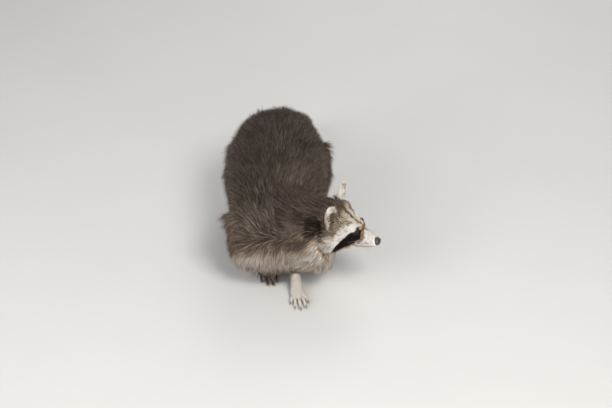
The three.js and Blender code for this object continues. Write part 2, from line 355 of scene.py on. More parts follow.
def make_mesh(name, points, *faces):
    """A mesh from points in metres and arrays of triangles or quads, all filled in one go."""
    mesh = bpy.data.meshes.new(name)
    corners = np.concatenate([f.ravel() for f in faces]).astype(np.int32)
    sizes = np.concatenate([np.full(len(f), f.shape[1]) for f in faces])
    mesh.vertices.add(len(points))
    mesh.vertices.foreach_set("co", np.asarray(points, np.float32).ravel())
    mesh.loops.add(len(corners))
    mesh.loops.foreach_set("vertex_index", corners)
    mesh.polygons.add(len(sizes))
    mesh.polygons.foreach_set("loop_start", np.concatenate([[0], np.cumsum(sizes)[:-1]]).astype(np.int32))
    mesh.polygons.foreach_set("use_smooth", np.ones(len(sizes), bool))
    mesh.update(calc_edges=True)
    return mesh


def add_piece(name, mesh, material, slot, *replaced):
    """Puts a finished mesh into the scene as a piece that rides on the one body; slot is not used."""
    piece = bpy.data.objects.new(name, mesh)
    bpy.context.scene.collection.objects.link(piece)
    mesh.materials.clear()
    mesh.materials.append(material)
    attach(piece, "root")
    if replaced:
        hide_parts(*replaced)
    return piece


def to_metres(p):
    """Points of the animal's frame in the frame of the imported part."""
    return (p + SHIFT) * MM


# %% [markdown]
# ## Ears
#
# An ear is a thin cup: a leaf that is rounded at the tip, bulges backwards in the middle and opens forwards
# and outwards. Its section at each height is a crescent, so the ear is again made of rings: points that run
# round the crescent, out along the back and home along the inside.

# %% The ear's own frame and its crescent rings
EAR = dict(place=np.array([41.0, 110.0, 38.0]), width=22.5, height=39.0, bulge=18.0, front=-8.0, wall=2.4)
EAR_LEAN, EAR_SPREAD, EAR_TURN = np.radians([-6.0, 17.0, 3.0])


def ear_axes(sign):
    """The ear's own axes in the head's frame: lean about X, then spread about Y, then turn about Z."""
    return rotation(2, sign * EAR_TURN) @ rotation(1, sign * EAR_SPREAD) @ rotation(0, EAR_LEAN)


def from_ear(p, sign):
    """Points of one ear's frame in the animal's frame."""
    return from_head(p @ ear_axes(sign).T + EAR["place"] * [sign, 1, 1])


def to_ear(p, sign):
    """Points of the animal's frame in one ear's frame."""
    return (to_head(p) - EAR["place"] * [sign, 1, 1]) @ ear_axes(sign)


def cup(x, z):
    """How far back the ear's leaf lies: sqrt(1 - z^2) (front + bulge (1 - x^2.4)), for shares x and z of its
    size."""
    tall = np.sqrt(1 - z**2)
    return EAR["front"] * tall + EAR["bulge"] * tall * (1 - np.minimum(np.abs(x), 1) ** 2.4)


def ear_flesh(sign, rings=46, around=44):
    """Crescents: x = W cos(a), y = cup(cos(a), z) - wall/2 sin(a), where W is an ellipse of the height z, a
    little narrower towards the tip."""
    z = np.linspace(-0.6, 0.975, rings)
    wide = EAR["width"] * (1 - z**2) ** 0.5 * (1 - 0.10 * step(0.2, 1, z))
    angle = turns(around)
    x = wide[:, None] * np.cos(angle)
    y = cup(np.cos(angle)[None], z[:, None]) - EAR["wall"] / 2 * np.sin(angle)
    points = np.stack([x, y, np.broadcast_to(z[:, None] * EAR["height"], x.shape)], -1)
    foot = [0, cup(0, z[0]), (z[0] - 0.02) * EAR["height"]]
    peak = [0, cup(0, z[-1]), z[-1] * EAR["height"] + 0.8]
    points = np.vstack([points.reshape(-1, 3), foot, peak])
    return from_ear(points, sign), *ring_faces(rings, around)


# %% [markdown]
# ## One skin
#
# The lengths of flesh, the digits and the ears overlap where they join. A voxel remesh melts them into a
# single closed skin with no seam, and a light smoothing takes the steps off. The alternative, stitching
# each leg to the trunk by hand, would give cleaner loops but nothing that a thick coat doesn't hide.

# %% Melt the flesh into one skin
VOXEL = 1.25 * MM


def evaluated(mesh, *modifiers):
    """A copy of a mesh with modifiers applied; each is a type and its settings."""
    carrier = bpy.data.objects.new("carrier", mesh)
    bpy.context.scene.collection.objects.link(carrier)
    for kind, settings in modifiers:
        modifier = carrier.modifiers.new(kind, kind)
        for name, value in settings.items():
            setattr(modifier, name, value)
    made = bpy.data.meshes.new_from_object(carrier.evaluated_get(bpy.context.evaluated_depsgraph_get()))
    bpy.data.objects.remove(carrier)
    return made


def joined(shapes):
    """Several closed shapes, as (points, quads, triangles), put one after another."""
    offsets = np.cumsum([0] + [len(s[0]) for s in shapes[:-1]])
    return (
        np.vstack([s[0] for s in shapes]),
        np.vstack([s[1] + o for s, o in zip(shapes, offsets)]),
        np.vstack([s[2] + o for s, o in zip(shapes, offsets)]),
    )


shapes = [flesh_of(part) for part in PARTS.values()]
shapes += [flesh_of(digit, 20, 4) for digit in DIGITS.values()] + [ear_flesh(1), ear_flesh(-1)]
points, quads, caps = joined(shapes)
loose = make_mesh("loose_flesh", to_metres(points), quads, caps)
melted = evaluated(
    loose,
    ("REMESH", dict(mode="VOXEL", voxel_size=VOXEL, use_smooth_shade=True)),
    ("SMOOTH", dict(factor=0.5, iterations=3)),
)
print("melted skin:", len(melted.polygons), "faces")


def points_of(mesh):
    """The mesh's points in the animal's frame, mm."""
    co = np.empty(len(mesh.vertices) * 3, np.float32)
    mesh.vertices.foreach_get("co", co)
    return co.reshape(-1, 3).astype(float) / MM - SHIFT


def normals_of(mesh):
    """The normal at each point of the mesh."""
    co = np.empty(len(mesh.vertices) * 3, np.float32)
    mesh.vertex_normals.foreach_get("vector", co)
    return co.reshape(-1, 3).astype(float)


# %% [markdown]
# ## Lids, mouth and soles
#
# The melted skin is still a plain head. Around each eye it becomes a height field along the line of sight:
# the lids wrap a ball that is a little larger than the eyeball, and inside an almond opening the skin sinks
# behind the eyeball, which is a piece of its own. A shallow groove makes the line of the mouth, and the
# soles stay on the floor.

# %% Shape the face
EYE_RADIUS = 6.5
GAZE = unit(np.array([0.66, -0.64, 0.30]))
OPENING = (5.9, 4.9)


def eye_axes(sign):
    """Line of sight, direction to the outer corner and direction up, in the head's frame."""
    gaze = GAZE * [sign, 1, 1]
    outer = unit(np.cross(gaze, [0, 0, 1])) * -sign
    outer = outer if outer[1] > 0 else -outer
    tilt = unit(outer - np.array([0, 0, 0.22]))
    lift = unit(np.cross(tilt, gaze))
    return gaze, tilt, lift if lift[2] > 0 else -lift


def pinch(a):
    """How much the opening narrows at a distance a from its middle."""
    return np.sqrt(np.clip(1.05 - (a / 6.7) ** 2, 0.1, 1))


def almond(a, b):
    """Below 1 inside the opening of the lids: an ellipse that is pinched towards both corners."""
    return np.sqrt((a / OPENING[0]) ** 2 + (b / (OPENING[1] * pinch(a))) ** 2)


def with_lids(head_points):
    """Raises the skin to the lids and sinks it in the opening; height h along the line of sight becomes
    soft-max(h, sqrt(R^2 - a^2 - b^2)) outside the almond and stays under the eyeball inside it."""
    out = head_points.copy()
    for sign in (1, -1):
        gaze, outer, lift = eye_axes(sign)
        rel = head_points - EYE * [sign, 1, 1]
        a, b, h = rel @ outer, rel @ lift, rel @ gaze
        across = np.hypot(a, b)
        reach = EYE_RADIUS + 0.7
        hill = np.sqrt(np.maximum(reach**2 - across**2, 0)) - 2.2 * np.maximum(across - reach, 0)
        soft = 1.1
        lid = soft * np.logaddexp(h / soft, hill / soft)
        eyeball = np.sqrt(np.maximum(EYE_RADIUS**2 - across**2, 0))
        goal = np.where(almond(a, b) < 1.0, np.minimum(lid, eyeball - 1.6), lid)
        use = (across < 15) & (h > -9) & (h < 14)
        share = step(15, 9, across)
        out[use] += gaze * ((goal - h) * share)[use, None]
    return out


def lip_line(y):
    """Height of the line of the lips at a distance y behind the nose."""
    return -13.5 - 0.16 * np.maximum(y - 8, 0)


def with_mouth(p, n):
    """Sinks the skin by up to 1.5 mm along the line of the lips, which slopes down to the corner."""
    groove = 1.5 * np.exp(-(((p[:, 2] - lip_line(p[:, 1])) / 1.3) ** 2))
    depth = groove * step(1, 6, p[:, 1]) * step(50, 42, p[:, 1])
    return p - n * depth[:, None]


skin_points, skin_normals = points_of(melted), normals_of(melted)
head_points = to_head(skin_points)
near_face = np.linalg.norm(head_points - [0, 50, 5], axis=1) < 85
face = with_mouth(head_points[near_face], skin_normals[near_face] @ HEAD_AXES)
skin_points[near_face] = from_head(with_lids(face))
skin_points[:, 2] = np.maximum(skin_points[:, 2], 0.15)
melted.vertices.foreach_set("co", to_metres(skin_points).astype(np.float32).ravel())
melted.update()

# %% [markdown]
# The face and the paws keep every face of the mesh, because they are nearly bare. Under the deep coat the
# skin can be much coarser, and a weighted decimation thins it there only.

# %% Thin the skin under the deep coat
SKIN_TRIANGLES = 185000
fine = (head_points[:, 1] < 80) & near_face | (skin_points[:, 2] < 52) & (np.abs(skin_points[:, 1]) < 250)
thinned = bpy.data.objects.new("thinned", melted)
bpy.context.scene.collection.objects.link(thinned)
group = thinned.vertex_groups.new(name="under_coat")
group.add(np.flatnonzero(~fine).tolist(), 1.0, "REPLACE")
decimate = thinned.modifiers.new("thin", "DECIMATE")
decimate.vertex_group = "under_coat"
decimate.ratio = min(1.0, SKIN_TRIANGLES / (2 * len(melted.polygons)))
decimate.use_collapse_triangulate = True
skin_mesh = bpy.data.meshes.new_from_object(thinned.evaluated_get(bpy.context.evaluated_depsgraph_get()))
bpy.data.objects.remove(thinned)
skin_mesh.name = "skin"
print("skin:", len(skin_mesh.polygons), "triangles")


# %% [markdown]
# ## Where a point is on the body
#
# Each length of the body answers for any point: how far along it lies, at what angle round, and how near to
# the surface, where 1 is the flesh. The answers are blended, so the coat turns smoothly from the neck to
# the shoulder and on to the leg.


# %% Place on one length, and the blend over all lengths
def place_on(part, p):
    """Nearest station, share t along, angle round, and q = sqrt((a/w)^2 + (b/h)^2 + (overrun/dome)^2)."""
    path = part["path"]
    c = path["centre"]
    i = np.argmin((c**2).sum(1) - 2 * (p @ c.T), axis=1)
    rel = p - c[i]
    a, b, e = ((rel * path[k][i]).sum(1) for k in ("side", "top", "ahead"))
    size = np.maximum(path["half"][i] - path["coat"][i, None], 1.0)
    height = np.where(b > 0, size[:, 1], size[:, 2])
    over = np.where((i == 0) & (e < 0) | (i == len(c) - 1) & (e > 0), e, 0)
    q = np.sqrt((a / size[:, 0]) ** 2 + (b / height) ** 2 + (over / np.minimum(size[:, 0], 25)) ** 2)
    span = np.linalg.norm(np.diff(c, axis=0), axis=1).mean()
    t = (i + np.clip(e / span, -0.5, 0.5)) / (len(c) - 1)
    far = np.hypot(a, b)
    found = dict(t=t, angle=np.arctan2(b, a), q=q, ahead=path["ahead"][i], coat=path["coat"][i])
    found["round"] = path["top"][i] * (a / far)[:, None] - path["side"][i] * (b / far)[:, None]
    return found


SIZES = {
    name: (part["path"]["half"].mean(), np.linalg.norm(np.diff(part["path"]["centre"], axis=0), axis=1).sum())
    for name, part in PARTS.items()
}
TOWARDS_TAIL = {name: -1 if name == "neck" or name.startswith("paw") else 1 for name in PARTS}
NAMES = list(PARTS)


def names_at(s):
    """The name of the length that each point of a survey is on."""
    return np.array(NAMES)[s["part"]]


def starts(names, *words):
    """True where a name begins with any of the words."""
    return np.any([np.char.startswith(names, word) for word in words], axis=0)


def survey(p):
    """For points on the skin: the name's number of their length, its t and angle, the coat's depth, and the
    direction head to tail and down the legs."""
    found = [place_on(PARTS[name], p) for name in NAMES]
    low = step(44, 34, p[:, 2])
    q = np.stack([f["q"] * (1 - 0.62 * low * name.startswith("paw")) for f, name in zip(found, NAMES)])
    weight = np.exp(-7 * (q - q.min(0)))
    weight /= weight.sum(0)
    along = sum(w[:, None] * f["ahead"] * TOWARDS_TAIL[n] for w, f, n in zip(weight, found, NAMES))
    part = q.argmin(0)
    rows = np.arange(len(p))
    t, angle, own = (np.stack([f[k] for f in found])[part, rows] for k in ("t", "angle", "coat"))
    coat = np.minimum(sum(w * f["coat"] for w, f in zip(weight, found)), own * 1.35 + 1)
    round_way = np.stack([f["round"] for f in found])[part, rows]
    place = dict(part=part, t=t, angle=angle, coat=coat, along=along, round=round_way)
    return dict(place, head=weight[0], q_head=q[0])


def ear_place(p):
    """Whether a point is on an ear, its sign, and its place there: x across, z up and outside or inside."""
    best = dict(on=np.zeros(len(p), bool), sign=np.ones(len(p)), x=np.zeros(len(p)), z=np.zeros(len(p)))
    best["back"], best["edge"] = np.zeros(len(p)), np.zeros(len(p))
    for sign in (1, -1):
        e = to_ear(p, sign)
        high = e[:, 2] / EAR["height"]
        level = np.clip(high, -0.99, 0.99)
        wide = EAR["width"] * np.sqrt(1 - level**2)
        off = e[:, 1] - cup(e[:, 0] / wide, level)
        on = (np.abs(off) < 4.5) & (high > -0.45) & (np.abs(e[:, 0]) < wide * 1.08) & (high < 1.08)
        edge = np.abs(e[:, 0]) / wide
        here = dict(sign=sign, x=sign * e[:, 0] / EAR["width"], z=high, back=off, edge=edge)
        for key, value in here.items():
            best[key] = np.where(on, value, best[key])
        best["on"] |= on
    return best


# %% [markdown]
# ## Lie of the coat
#
# Hair starts at the nose, runs back over the face and crown, down the neck and along the back, down each
# leg and out along the tail. Round the eye it parts, on the cheeks it turns outwards and down into the
# ruff, on the ears it runs up to the tip, and everywhere long hair gives way to gravity.


# %% Direction of growth
def ruff(h):
    """1 on the cheeks' ruff in the head's frame: behind the eye, below the ear, fading over 20 mm."""
    outer = step(24, 40, np.abs(h[:, 0]))
    return outer * step(66, 90, h[:, 1]) * step(160, 140, h[:, 1]) * step(12, -8, h[:, 2])


def lie(p, n, s, ear):
    """The blended direction along the skin, changed on the head, ears, trunk and upper legs, with some
    gravity added."""
    h = to_head(p)
    side = np.sign(h[:, 0])
    d = s["along"].copy()
    body = starts(names_at(s), "trunk", "upper")
    d[:, 0] *= np.where(body, 0.30, 1)
    d[:, 1] += 0.35 * body
    cheek = s["head"] * step(14, -22, h[:, 2]) * step(48, 80, h[:, 1])
    d += 1.3 * cheek[:, None] * (np.stack([side * 0.45, 0 * side, -0.85 + 0 * side], 1) @ HEAD_AXES.T)
    for sign in (1, -1):
        away = h - EYE * [sign, 1, 1]
        ring = np.exp(-((np.linalg.norm(away, axis=1) / 13) ** 2))
        d += (ring * 1.6)[:, None] * (unit(away) @ HEAD_AXES.T)
    d[:, 2] -= 0.45 * step(8, 24, s["coat"]) * (1 - s["head"])
    for sign in (1, -1):
        axes = HEAD_AXES @ ear_axes(sign)
        here = ear["on"] & (ear["sign"] == sign)
        out = sign * np.sign(ear["x"]) * step(0.55, 0.95, ear["edge"])
        d = np.where(here[:, None], axes[:, 2] + 0.35 * out[:, None] * axes[:, 0] - 0.25 * axes[:, 1], d)
    d -= n * (d * n).sum(1, keepdims=True)
    return unit(d)


# %% [markdown]
# ## Markings
#
# One set of functions says how pale, how dark and how warm the coat is at any place, and both the skin and
# the tufts ask it. A marking is a band along a few points of the head's frame with a width at each, or a
# patch. The mask runs from the bridge of the nose across the eye to the cheek, a broad white band follows
# its upper edge, and a thin dark line divides the forehead.


# %% Bands, patches and the head's markings
def band(p, points, widths, soft=0.3):
    """1 within a width of the line through the points, 0 beyond, with a soft edge."""
    points = np.asarray(points, float)
    best = np.full(len(p), 9.0)
    for a, b, wa, wb in zip(points[:-1], points[1:], widths[:-1], widths[1:]):
        t = np.clip((p - a) @ (b - a) / ((b - a) @ (b - a)), 0, 1)
        far = np.linalg.norm(p - a - t[:, None] * (b - a), axis=1)
        best = np.minimum(best, far / (wa + (wb - wa) * t))
    return step(1 + soft, 1 - soft, best)


def patch(p, centre, radii, soft=0.3):
    """1 inside an ellipsoid, 0 outside, with a soft edge."""
    return step(1 + soft, 1 - soft, np.linalg.norm((p - centre) / radii, axis=1))


def paint(marks, share, pale=None, dark=None, warm=None):
    """Moves the markings towards the given values by a share from 0 to 1."""
    for key, value in (("pale", pale), ("dark", dark), ("warm", warm)):
        if value is not None:
            marks[key] = marks[key] + (value - marks[key]) * share


def head_marks(marks, h, chance):
    """Paints the head: h are points of the head's frame, chance a random number for each."""
    m = np.column_stack([np.abs(h[:, 0]), h[:, 1], h[:, 2]])
    m = m + 1.3 * np.column_stack([ripple(h, 14, 5), ripple(h, 14, 6), ripple(h, 14, 7)])
    fuzzy = m + ((chance - 0.5) * 7)[:, None]
    freckle = step(0.05, 0.25, ripple(h, 3.8, 8) + 0.9 * (chance - 0.5))
    on_head = patch(h, [0, 78, -4], [86, 82, 60], 0.2)
    paint(marks, on_head, pale=0.13, dark=0.06, warm=0.05)
    temple = patch(fuzzy, [36, 88, 36], [25, 22, 24], 0.5) * on_head
    paint(marks, temple, pale=0.52 * (1 - freckle) + 0.07, dark=0.68 * freckle, warm=0.10)
    muzzle = step(52, 40, h[:, 1])
    paint(marks, muzzle, pale=0.95, dark=0.0, warm=0.04)
    top = step(1, 6, h[:, 2] - 0.22 * h[:, 1]) * step(14, 8, m[:, 0])
    paint(marks, muzzle * top, pale=0.62, warm=0.30, dark=0.03)
    paint(marks, step(-15, -24, h[:, 2]) * step(80, 62, h[:, 1]) * on_head, pale=0.95, dark=0.0, warm=0.03)
    cheek = band(fuzzy, [[62, 88, -8], [65, 104, -6], [66, 116, -16], [64, 128, -40]], [17, 15, 18, 22], 0.45)
    tan = step(0.1, 0.4, ripple(h, 5.5, 9) + 0.8 * (chance - 0.5))
    paint(marks, cheek, pale=0.92 - 0.42 * tan, dark=0.0, warm=0.04 + 0.10 * tan)
    brow = band(m, [[5, 50, 27], [18, 58, 31], [37, 71, 26], [50, 79, 14], [61, 86, -3], [66, 92, -20]],
                [5, 9, 12.5, 13, 12, 12], 0.28)
    paint(marks, brow, pale=1.0, dark=0.0, warm=0.0)
    forehead = band(m, [[7, 54, 30], [10, 66, 37], [12, 78, 42], [13, 92, 47]], [6, 6.5, 7, 8], 0.5)
    paint(marks, forehead * step(102, 80, h[:, 1]), pale=0.85, dark=0.0, warm=0.02)
    line = band(m, [[0, 38, 14], [0, 58, 32], [0, 70, 39], [0, 84, 45], [0, 104, 52]],
                [2.2, 2.4, 2.6, 3.6, 7], 0.4)
    paint(marks, line, pale=0.10, dark=0.50, warm=0.40)
    rufous = band(m, [[3, 44, 20], [9, 40, 14], [18, 39, 3], [24, 42, -8]], [5, 6, 5, 3.5], 0.6)
    paint(marks, rufous, pale=0.22, dark=0.16, warm=0.68)
    mask = band(m, [[13, 48, 15], [28, 52, 7], [47, 64, -2], [60, 75, -13], [64, 83, -27]],
                [6.5, 13.5, 13.5, 10, 6], 0.16)
    mask = np.maximum(mask, patch(m, [23, 50, 13.5], [12, 10, 10], 0.16))
    paint(marks, mask, pale=0.0, dark=1.0, warm=0.06)
    lips = np.exp(-(((h[:, 2] - lip_line(h[:, 1])) / 1.5) ** 2)) * step(50, 40, h[:, 1]) * (m[:, 0] < 40)
    paint(marks, lips, pale=0.1, dark=0.8, warm=0.2)
    # The dark patch behind and below the ear is the coat's own dark fur, painted near black to hold the shade
    # under the ear as well.
    ragged = fuzzy + ((chance - 0.5) * 9)[:, None] + 2.5 * ripple(h, 9, 10)[:, None]
    behind = band(ragged, [[57, 134, 29], [61, 130, 9], [62, 148, 10], [58, 156, 28]], [14, 15, 17, 15], 0.6)
    paint(marks, behind, pale=0.0, dark=0.96, warm=0.12)
    paint(marks, patch(fuzzy, [67, 113, -8], [7, 9, 3.5], 0.4), pale=0.0, dark=0.8)


def ear_marks(marks, ear):
    """Paints the ears: brown at the base of the back, cream above, ochre inside and a white rim all round."""
    on = ear["on"].astype(float)
    back = step(-0.3, 0.3, ear["back"])
    paint(marks, on, pale=0.80, dark=0.0, warm=0.08)
    paint(marks, on * step(0.0, 0.5, ear["x"]), pale=0.62, dark=0.0, warm=0.22)
    paint(marks, on * back * step(0.20, -0.15, ear["z"]), pale=0.35, dark=0.12, warm=0.50)
    paint(marks, on * (1 - back) * step(0.75, 0.50, ear["z"]), pale=0.36, dark=0.08, warm=0.36)
    paint(marks, on * (1 - back) * step(-0.05, -0.45, ear["x"]), pale=0.95, dark=0.0, warm=0.03)
    rim = np.maximum(step(0.74, 0.90, ear["edge"]), step(0.70, 0.84, ear["z"]))
    paint(marks, on * rim, pale=1.0, dark=0.0, warm=0.0)


# %% [markdown]
# The body is grizzled all over and darkest along the back, cream on the throat and the fringe of the chest,
# and paler below. The tail has six dark rings, and the last of them runs into its dark blunt tip. The left
# hand is white. The right one has a cream wrist, and its fingers are painted dark grey for the shade they lie
# in.

# %% Markings of the body
RINGS = 6


def body_marks(marks, p, s, n, chance):
    """Paints the trunk, legs and tail from the place on each length."""
    name = names_at(s)
    back = step(0.2, 0.95, n[:, 2]) * step(150, 205, p[:, 2])
    paint(marks, back, pale=0.04, dark=0.54, warm=0.06)
    paint(marks, step(-0.35, -0.9, n[:, 2]) * step(130, 95, p[:, 2]), pale=0.42, dark=0.0, warm=0.12)
    fuzzy = p + ((chance - 0.5) * 16)[:, None] * [0, 0, 1]
    throat = band(fuzzy, [[118, -186, 84], [104, -206, 88], [78, -204, 92], [48, -206, 84], [10, -212, 76],
                          [-40, -206, 76], [-80, -190, 70]], [36, 35, 33, 30, 27, 25, 22], 0.45)
    paint(marks, throat, pale=0.90 - 0.40 * (chance < 0.2), dark=0.0, warm=0.08)
    locks = band(fuzzy, [[106, -222, 140], [86, -216, 124], [78, -208, 102], [98, -206, 86]],
                 [19, 22, 24, 26], 0.5)
    paint(marks, locks, pale=1.0 - 0.4 * (chance < 0.16), dark=0.0, warm=0.02)
    # Painted shade between the white locks: darker stripes where the gaps between locks fall.
    lock_gap_shade = step(0.18, 0.42, ripple(p * [1, 1, 0.45], 10, 65) + 0.25 * (chance - 0.5))
    paint(marks, locks * lock_gap_shade, pale=0.22, dark=0.10)
    # Painted highlight: the sky's grey sheen on the nape by the far ear, as a greyer, cooler patch of coat.
    painted_sky_highlight = patch(p, [70, -90, 228], [60, 60, 40], 0.6)
    paint(marks, painted_sky_highlight * 0.5, pale=0.13, dark=0.25, warm=0.0)
    lower, paw = starts(name, "lower_"), starts(name, "paw_")
    hind = np.char.find(name, "hind") > 0
    paint(marks, lower, pale=0.05, dark=0.45, warm=0.15)
    wrist_left = (name == "paw_foreleg_left") | (name == "lower_foreleg_left")
    paint(marks, wrist_left * step(78, 50, p[:, 2]), pale=0.84, dark=0.30, warm=0.0)
    fingers_right = name == "paw_foreleg_right"
    wrist_right = fingers_right | (name == "lower_foreleg_right")
    paint(marks, wrist_right * step(74, 52, p[:, 2]), pale=0.62, dark=0.0, warm=0.14)
    # Painted shade: the right hand's fingers are painted dark grey for the shade they lie in.
    paint(marks, fingers_right * step(-124, -136, p[:, 1]), pale=0.05, dark=0.62, warm=0.1)
    foot = (paw | lower) & hind
    salt, pepper = 0.68 - 0.5 * (chance < 0.35), 0.50 + 0.3 * (chance < 0.3)
    paint(marks, foot * step(62, 22, p[:, 2]), pale=salt, dark=pepper, warm=0.03)
    tail = name == "tail"
    ring = step(-0.25, 0.25, np.cos(2 * np.pi * RINGS * (s["t"] - 0.06)))
    paint(marks, tail * step(0.03, 0.09, s["t"]) * (1 - ring), pale=0.46, dark=0.0, warm=0.22)
    paint(marks, tail * step(0.03, 0.09, s["t"]) * ring, pale=0.0, dark=0.88, warm=0.16)
    paint(marks, tail * step(0.90, 0.94, s["t"]), pale=0.0, dark=0.95, warm=0.1)


def markings(p, n, s, ear, chance):
    """Pale, dark and warm shares at points of the animal's frame, as one array."""
    count = len(p)
    marks = dict(pale=np.full(count, 0.05), dark=np.full(count, 0.12), warm=np.full(count, 0.06))
    body_marks(marks, p, s, n, chance)
    h = to_head(p)
    near = np.linalg.norm((h - [0, 80, -6]) / [100, 112, 80], axis=1) < 1
    head = {key: value[near] for key, value in marks.items()}
    head_marks(head, h[near], chance[near])
    for key, value in head.items():
        marks[key][near] = value
    ear_marks(marks, ear)
    return np.clip(np.stack([marks["pale"], marks["dark"], marks["warm"]], 1), 0, 1)


# %% [markdown]
# ## Shader maths
#
# The colours are mixed in the materials. A small class lets a socket be used in sums and products as a
# plain number would be, and a second one holds a material and adds any other node in one call.


# %% Values and finishes
class Value:
    """A number that varies over a surface. Sums and products of values add Math nodes."""

    def __init__(self, tree, socket):
        self.tree, self.socket = tree, socket

    def maths(self, operation, *terms):
        """One Math node; a term is a number or another value."""
        node = self.tree.nodes.new("ShaderNodeMath")
        node.operation = operation
        for entry, term in zip(node.inputs, terms):
            if isinstance(term, Value):
                self.tree.links.new(term.socket, entry)
            else:
                entry.default_value = term
        return Value(self.tree, node.outputs[0])

    def __add__(self, other):
        return self.maths("ADD", self, other)

    def __radd__(self, other):
        return self.maths("ADD", other, self)

    def __sub__(self, other):
        return self.maths("SUBTRACT", self, other)

    def __rsub__(self, other):
        return self.maths("SUBTRACT", other, self)

    def __mul__(self, other):
        return self.maths("MULTIPLY", self, other)

    def __rmul__(self, other):
        return self.maths("MULTIPLY", other, self)

    def limited(self, low=0.0, high=1.0):
        """The value kept between two limits."""
        return self.maths("MINIMUM", self.maths("MAXIMUM", self, low), high)


class Finish:
    """A material with one Principled shader."""

    def __init__(self, name, **constants):
        self.material = bpy.data.materials.new(name)
        self.material.use_nodes = True
        self.tree = self.material.node_tree
        self.shader = self.tree.nodes["Principled BSDF"]
        for socket, value in constants.items():
            self.shader.inputs[socket.replace("_", " ")].default_value = value

    def add(self, kind, settings=None, output=0, **entries):
        """Adds a node: settings first, a ramp's stops among them, then its sockets, by name or as i0, i1."""
        node = self.tree.nodes.new(kind)
        for key, value in (settings or {}).items():
            if key == "stops":
                for place, colour in value[:-2]:
                    node.color_ramp.elements.new(place)
                for element, (place, colour) in zip(node.color_ramp.elements, value):
                    element.position, element.color = place, (*colour, 1)
            else:
                setattr(node, key, value)
        for key, value in entries.items():
            entry = node.inputs[int(key[1:]) if key[1:].isdigit() else key.replace("_", " ")]
            if isinstance(value, (Value, bpy.types.NodeSocket)):
                self.tree.links.new(value.socket if isinstance(value, Value) else value, entry)
            else:
                entry.default_value = value
        return node.outputs[output]

    def pattern(self, kind, scale, **entries):
        """A texture on Object coordinates, so that it stays fixed to the piece."""
        where = self.add("ShaderNodeTexCoord", None, 3)
        return self.add("ShaderNodeTex" + kind, None, 0, Vector=where, Scale=scale, **entries)

    def bump(self, height, strength, distance):
        """The normal of a relief of that height; the distance is in metres."""
        return self.add("ShaderNodeBump", None, 0, Strength=strength, Distance=distance, Height=height)

    def value(self, socket):
        """A socket as a number for sums and products."""
        return Value(self.tree, socket)

    def mix(self, a, b, share):
        """Colour a where share is 0, b where it is 1; a and b are colours or sockets."""
        a, b = ((*c, 1) if isinstance(c, tuple) else c for c in (a, b))
        return self.add("ShaderNodeMix", dict(data_type="RGBA"), 2, i0=share, i6=a, i7=b)

    def attribute(self, name):
        """The three numbers of a point attribute."""
        vector = self.add("ShaderNodeAttribute", dict(attribute_name=name), 1)
        split = self.tree.nodes.new("ShaderNodeSeparateXYZ")
        self.tree.links.new(vector, split.inputs[0])
        return [self.value(out) for out in split.outputs]

    def link(self, **entries):
        """Links values or sockets to the shader's sockets of the same names."""
        for key, value in entries.items():
            source = value.socket if isinstance(value, Value) else value
            self.tree.links.new(source, self.shader.inputs[key.replace("_", " ")])
        return self


# %% [markdown]
# ## Colours of the coat
#
# A guard hair is dark at the root, has a buff band below the tip and ends dark or, here and there, white.
# That banding is what makes a raccoon look grizzled. White, black and warm hair replace it where the
# markings say so. The skin is given the same colours with a middle tone of the hair.

# %% Coat and skin finishes
CREAM, WHITE, BLACK = (0.70, 0.555, 0.40), (0.86, 0.83, 0.79), (0.012, 0.009, 0.009)
RUFOUS, HAIR_ROOT = (0.25, 0.135, 0.078), (0.045, 0.037, 0.034)


def marked(finish, base, pale, dark, warm):
    """Mixes cream, then white, then the warm tone, then black over the base colour."""
    colour = finish.mix(base, CREAM, (pale * 2).limited())
    colour = finish.mix(colour, WHITE, (pale * 2 - 1).limited())
    colour = finish.mix(colour, RUFOUS, warm.limited())
    return finish.mix(colour, BLACK, dark.limited())


def coat_finish(name):
    """Banded hair: a ramp along the strand, tips dark or white by chance, then the markings, then painted
    shade between pale locks and towards each root.
    """
    finish = Finish(name, Roughness=0.66, Specular_IOR_Level=0.12)
    pale, dark, warm = finish.attribute("markings")
    along, chance, tone = finish.attribute("strand")
    stops = [(0.0, HAIR_ROOT), (0.30, (0.042, 0.031, 0.027)), (0.56, (0.075, 0.055, 0.046)),
             (0.76, (0.20, 0.147, 0.114)), (0.93, (0.055, 0.040, 0.034))]
    banded = finish.add("ShaderNodeValToRGB", dict(stops=stops), Fac=along)
    tip = ((along - 0.72) * 5).limited()
    banded = finish.mix(banded, (0.030, 0.025, 0.024), tip * ((0.45 - chance) * 6).limited())
    banded = finish.mix(banded, (0.62, 0.57, 0.51), tip * ((chance - 0.80) * 8).limited())
    banded = finish.mix(banded, (0.013, 0.010, 0.010), (tone * -0.8 + 0.1).limited(0, 0.88))
    banded = finish.mix(banded, (0.40, 0.305, 0.235), (tone * 0.55 - 0.20).limited(0, 0.70))
    colour = marked(finish, banded, pale, dark, warm)
    # Painted shade in the gaps between locks of pale hair: tufts of low tone are darkened towards brown.
    colour = finish.mix(colour, (0.16, 0.12, 0.09), (tone * -0.9 - 0.18).limited(0, 0.85) * pale * (1 - dark))
    # Painted shade deep in the coat: each tuft darkens towards its root, at half strength on pale hair and
    # not where it is marked black; on grey hair this deepens its own dark underfur.
    shade = ((0.45 - along) * 1.1).limited(0, 0.5) * (1 - dark)
    colour = finish.mix(colour, HAIR_ROOT, shade * (1 - pale * 0.5))
    return finish.link(Base_Color=colour)


grey_coat, pale_coat, dark_coat = (coat_finish(n) for n in ("grey_coat", "pale_coat", "dark_coat"))

skin_finish = Finish("skin_under_coat", Roughness=0.75, Specular_IOR_Level=0.12)
pale, dark, warm = skin_finish.attribute("markings")
fleck = skin_finish.pattern("Noise", 620.0, Detail=3.0)
hair_tone = skin_finish.mix((0.025, 0.019, 0.017), (0.12, 0.090, 0.077), fleck)
skin_colour = marked(skin_finish, hair_tone, pale, dark, warm)
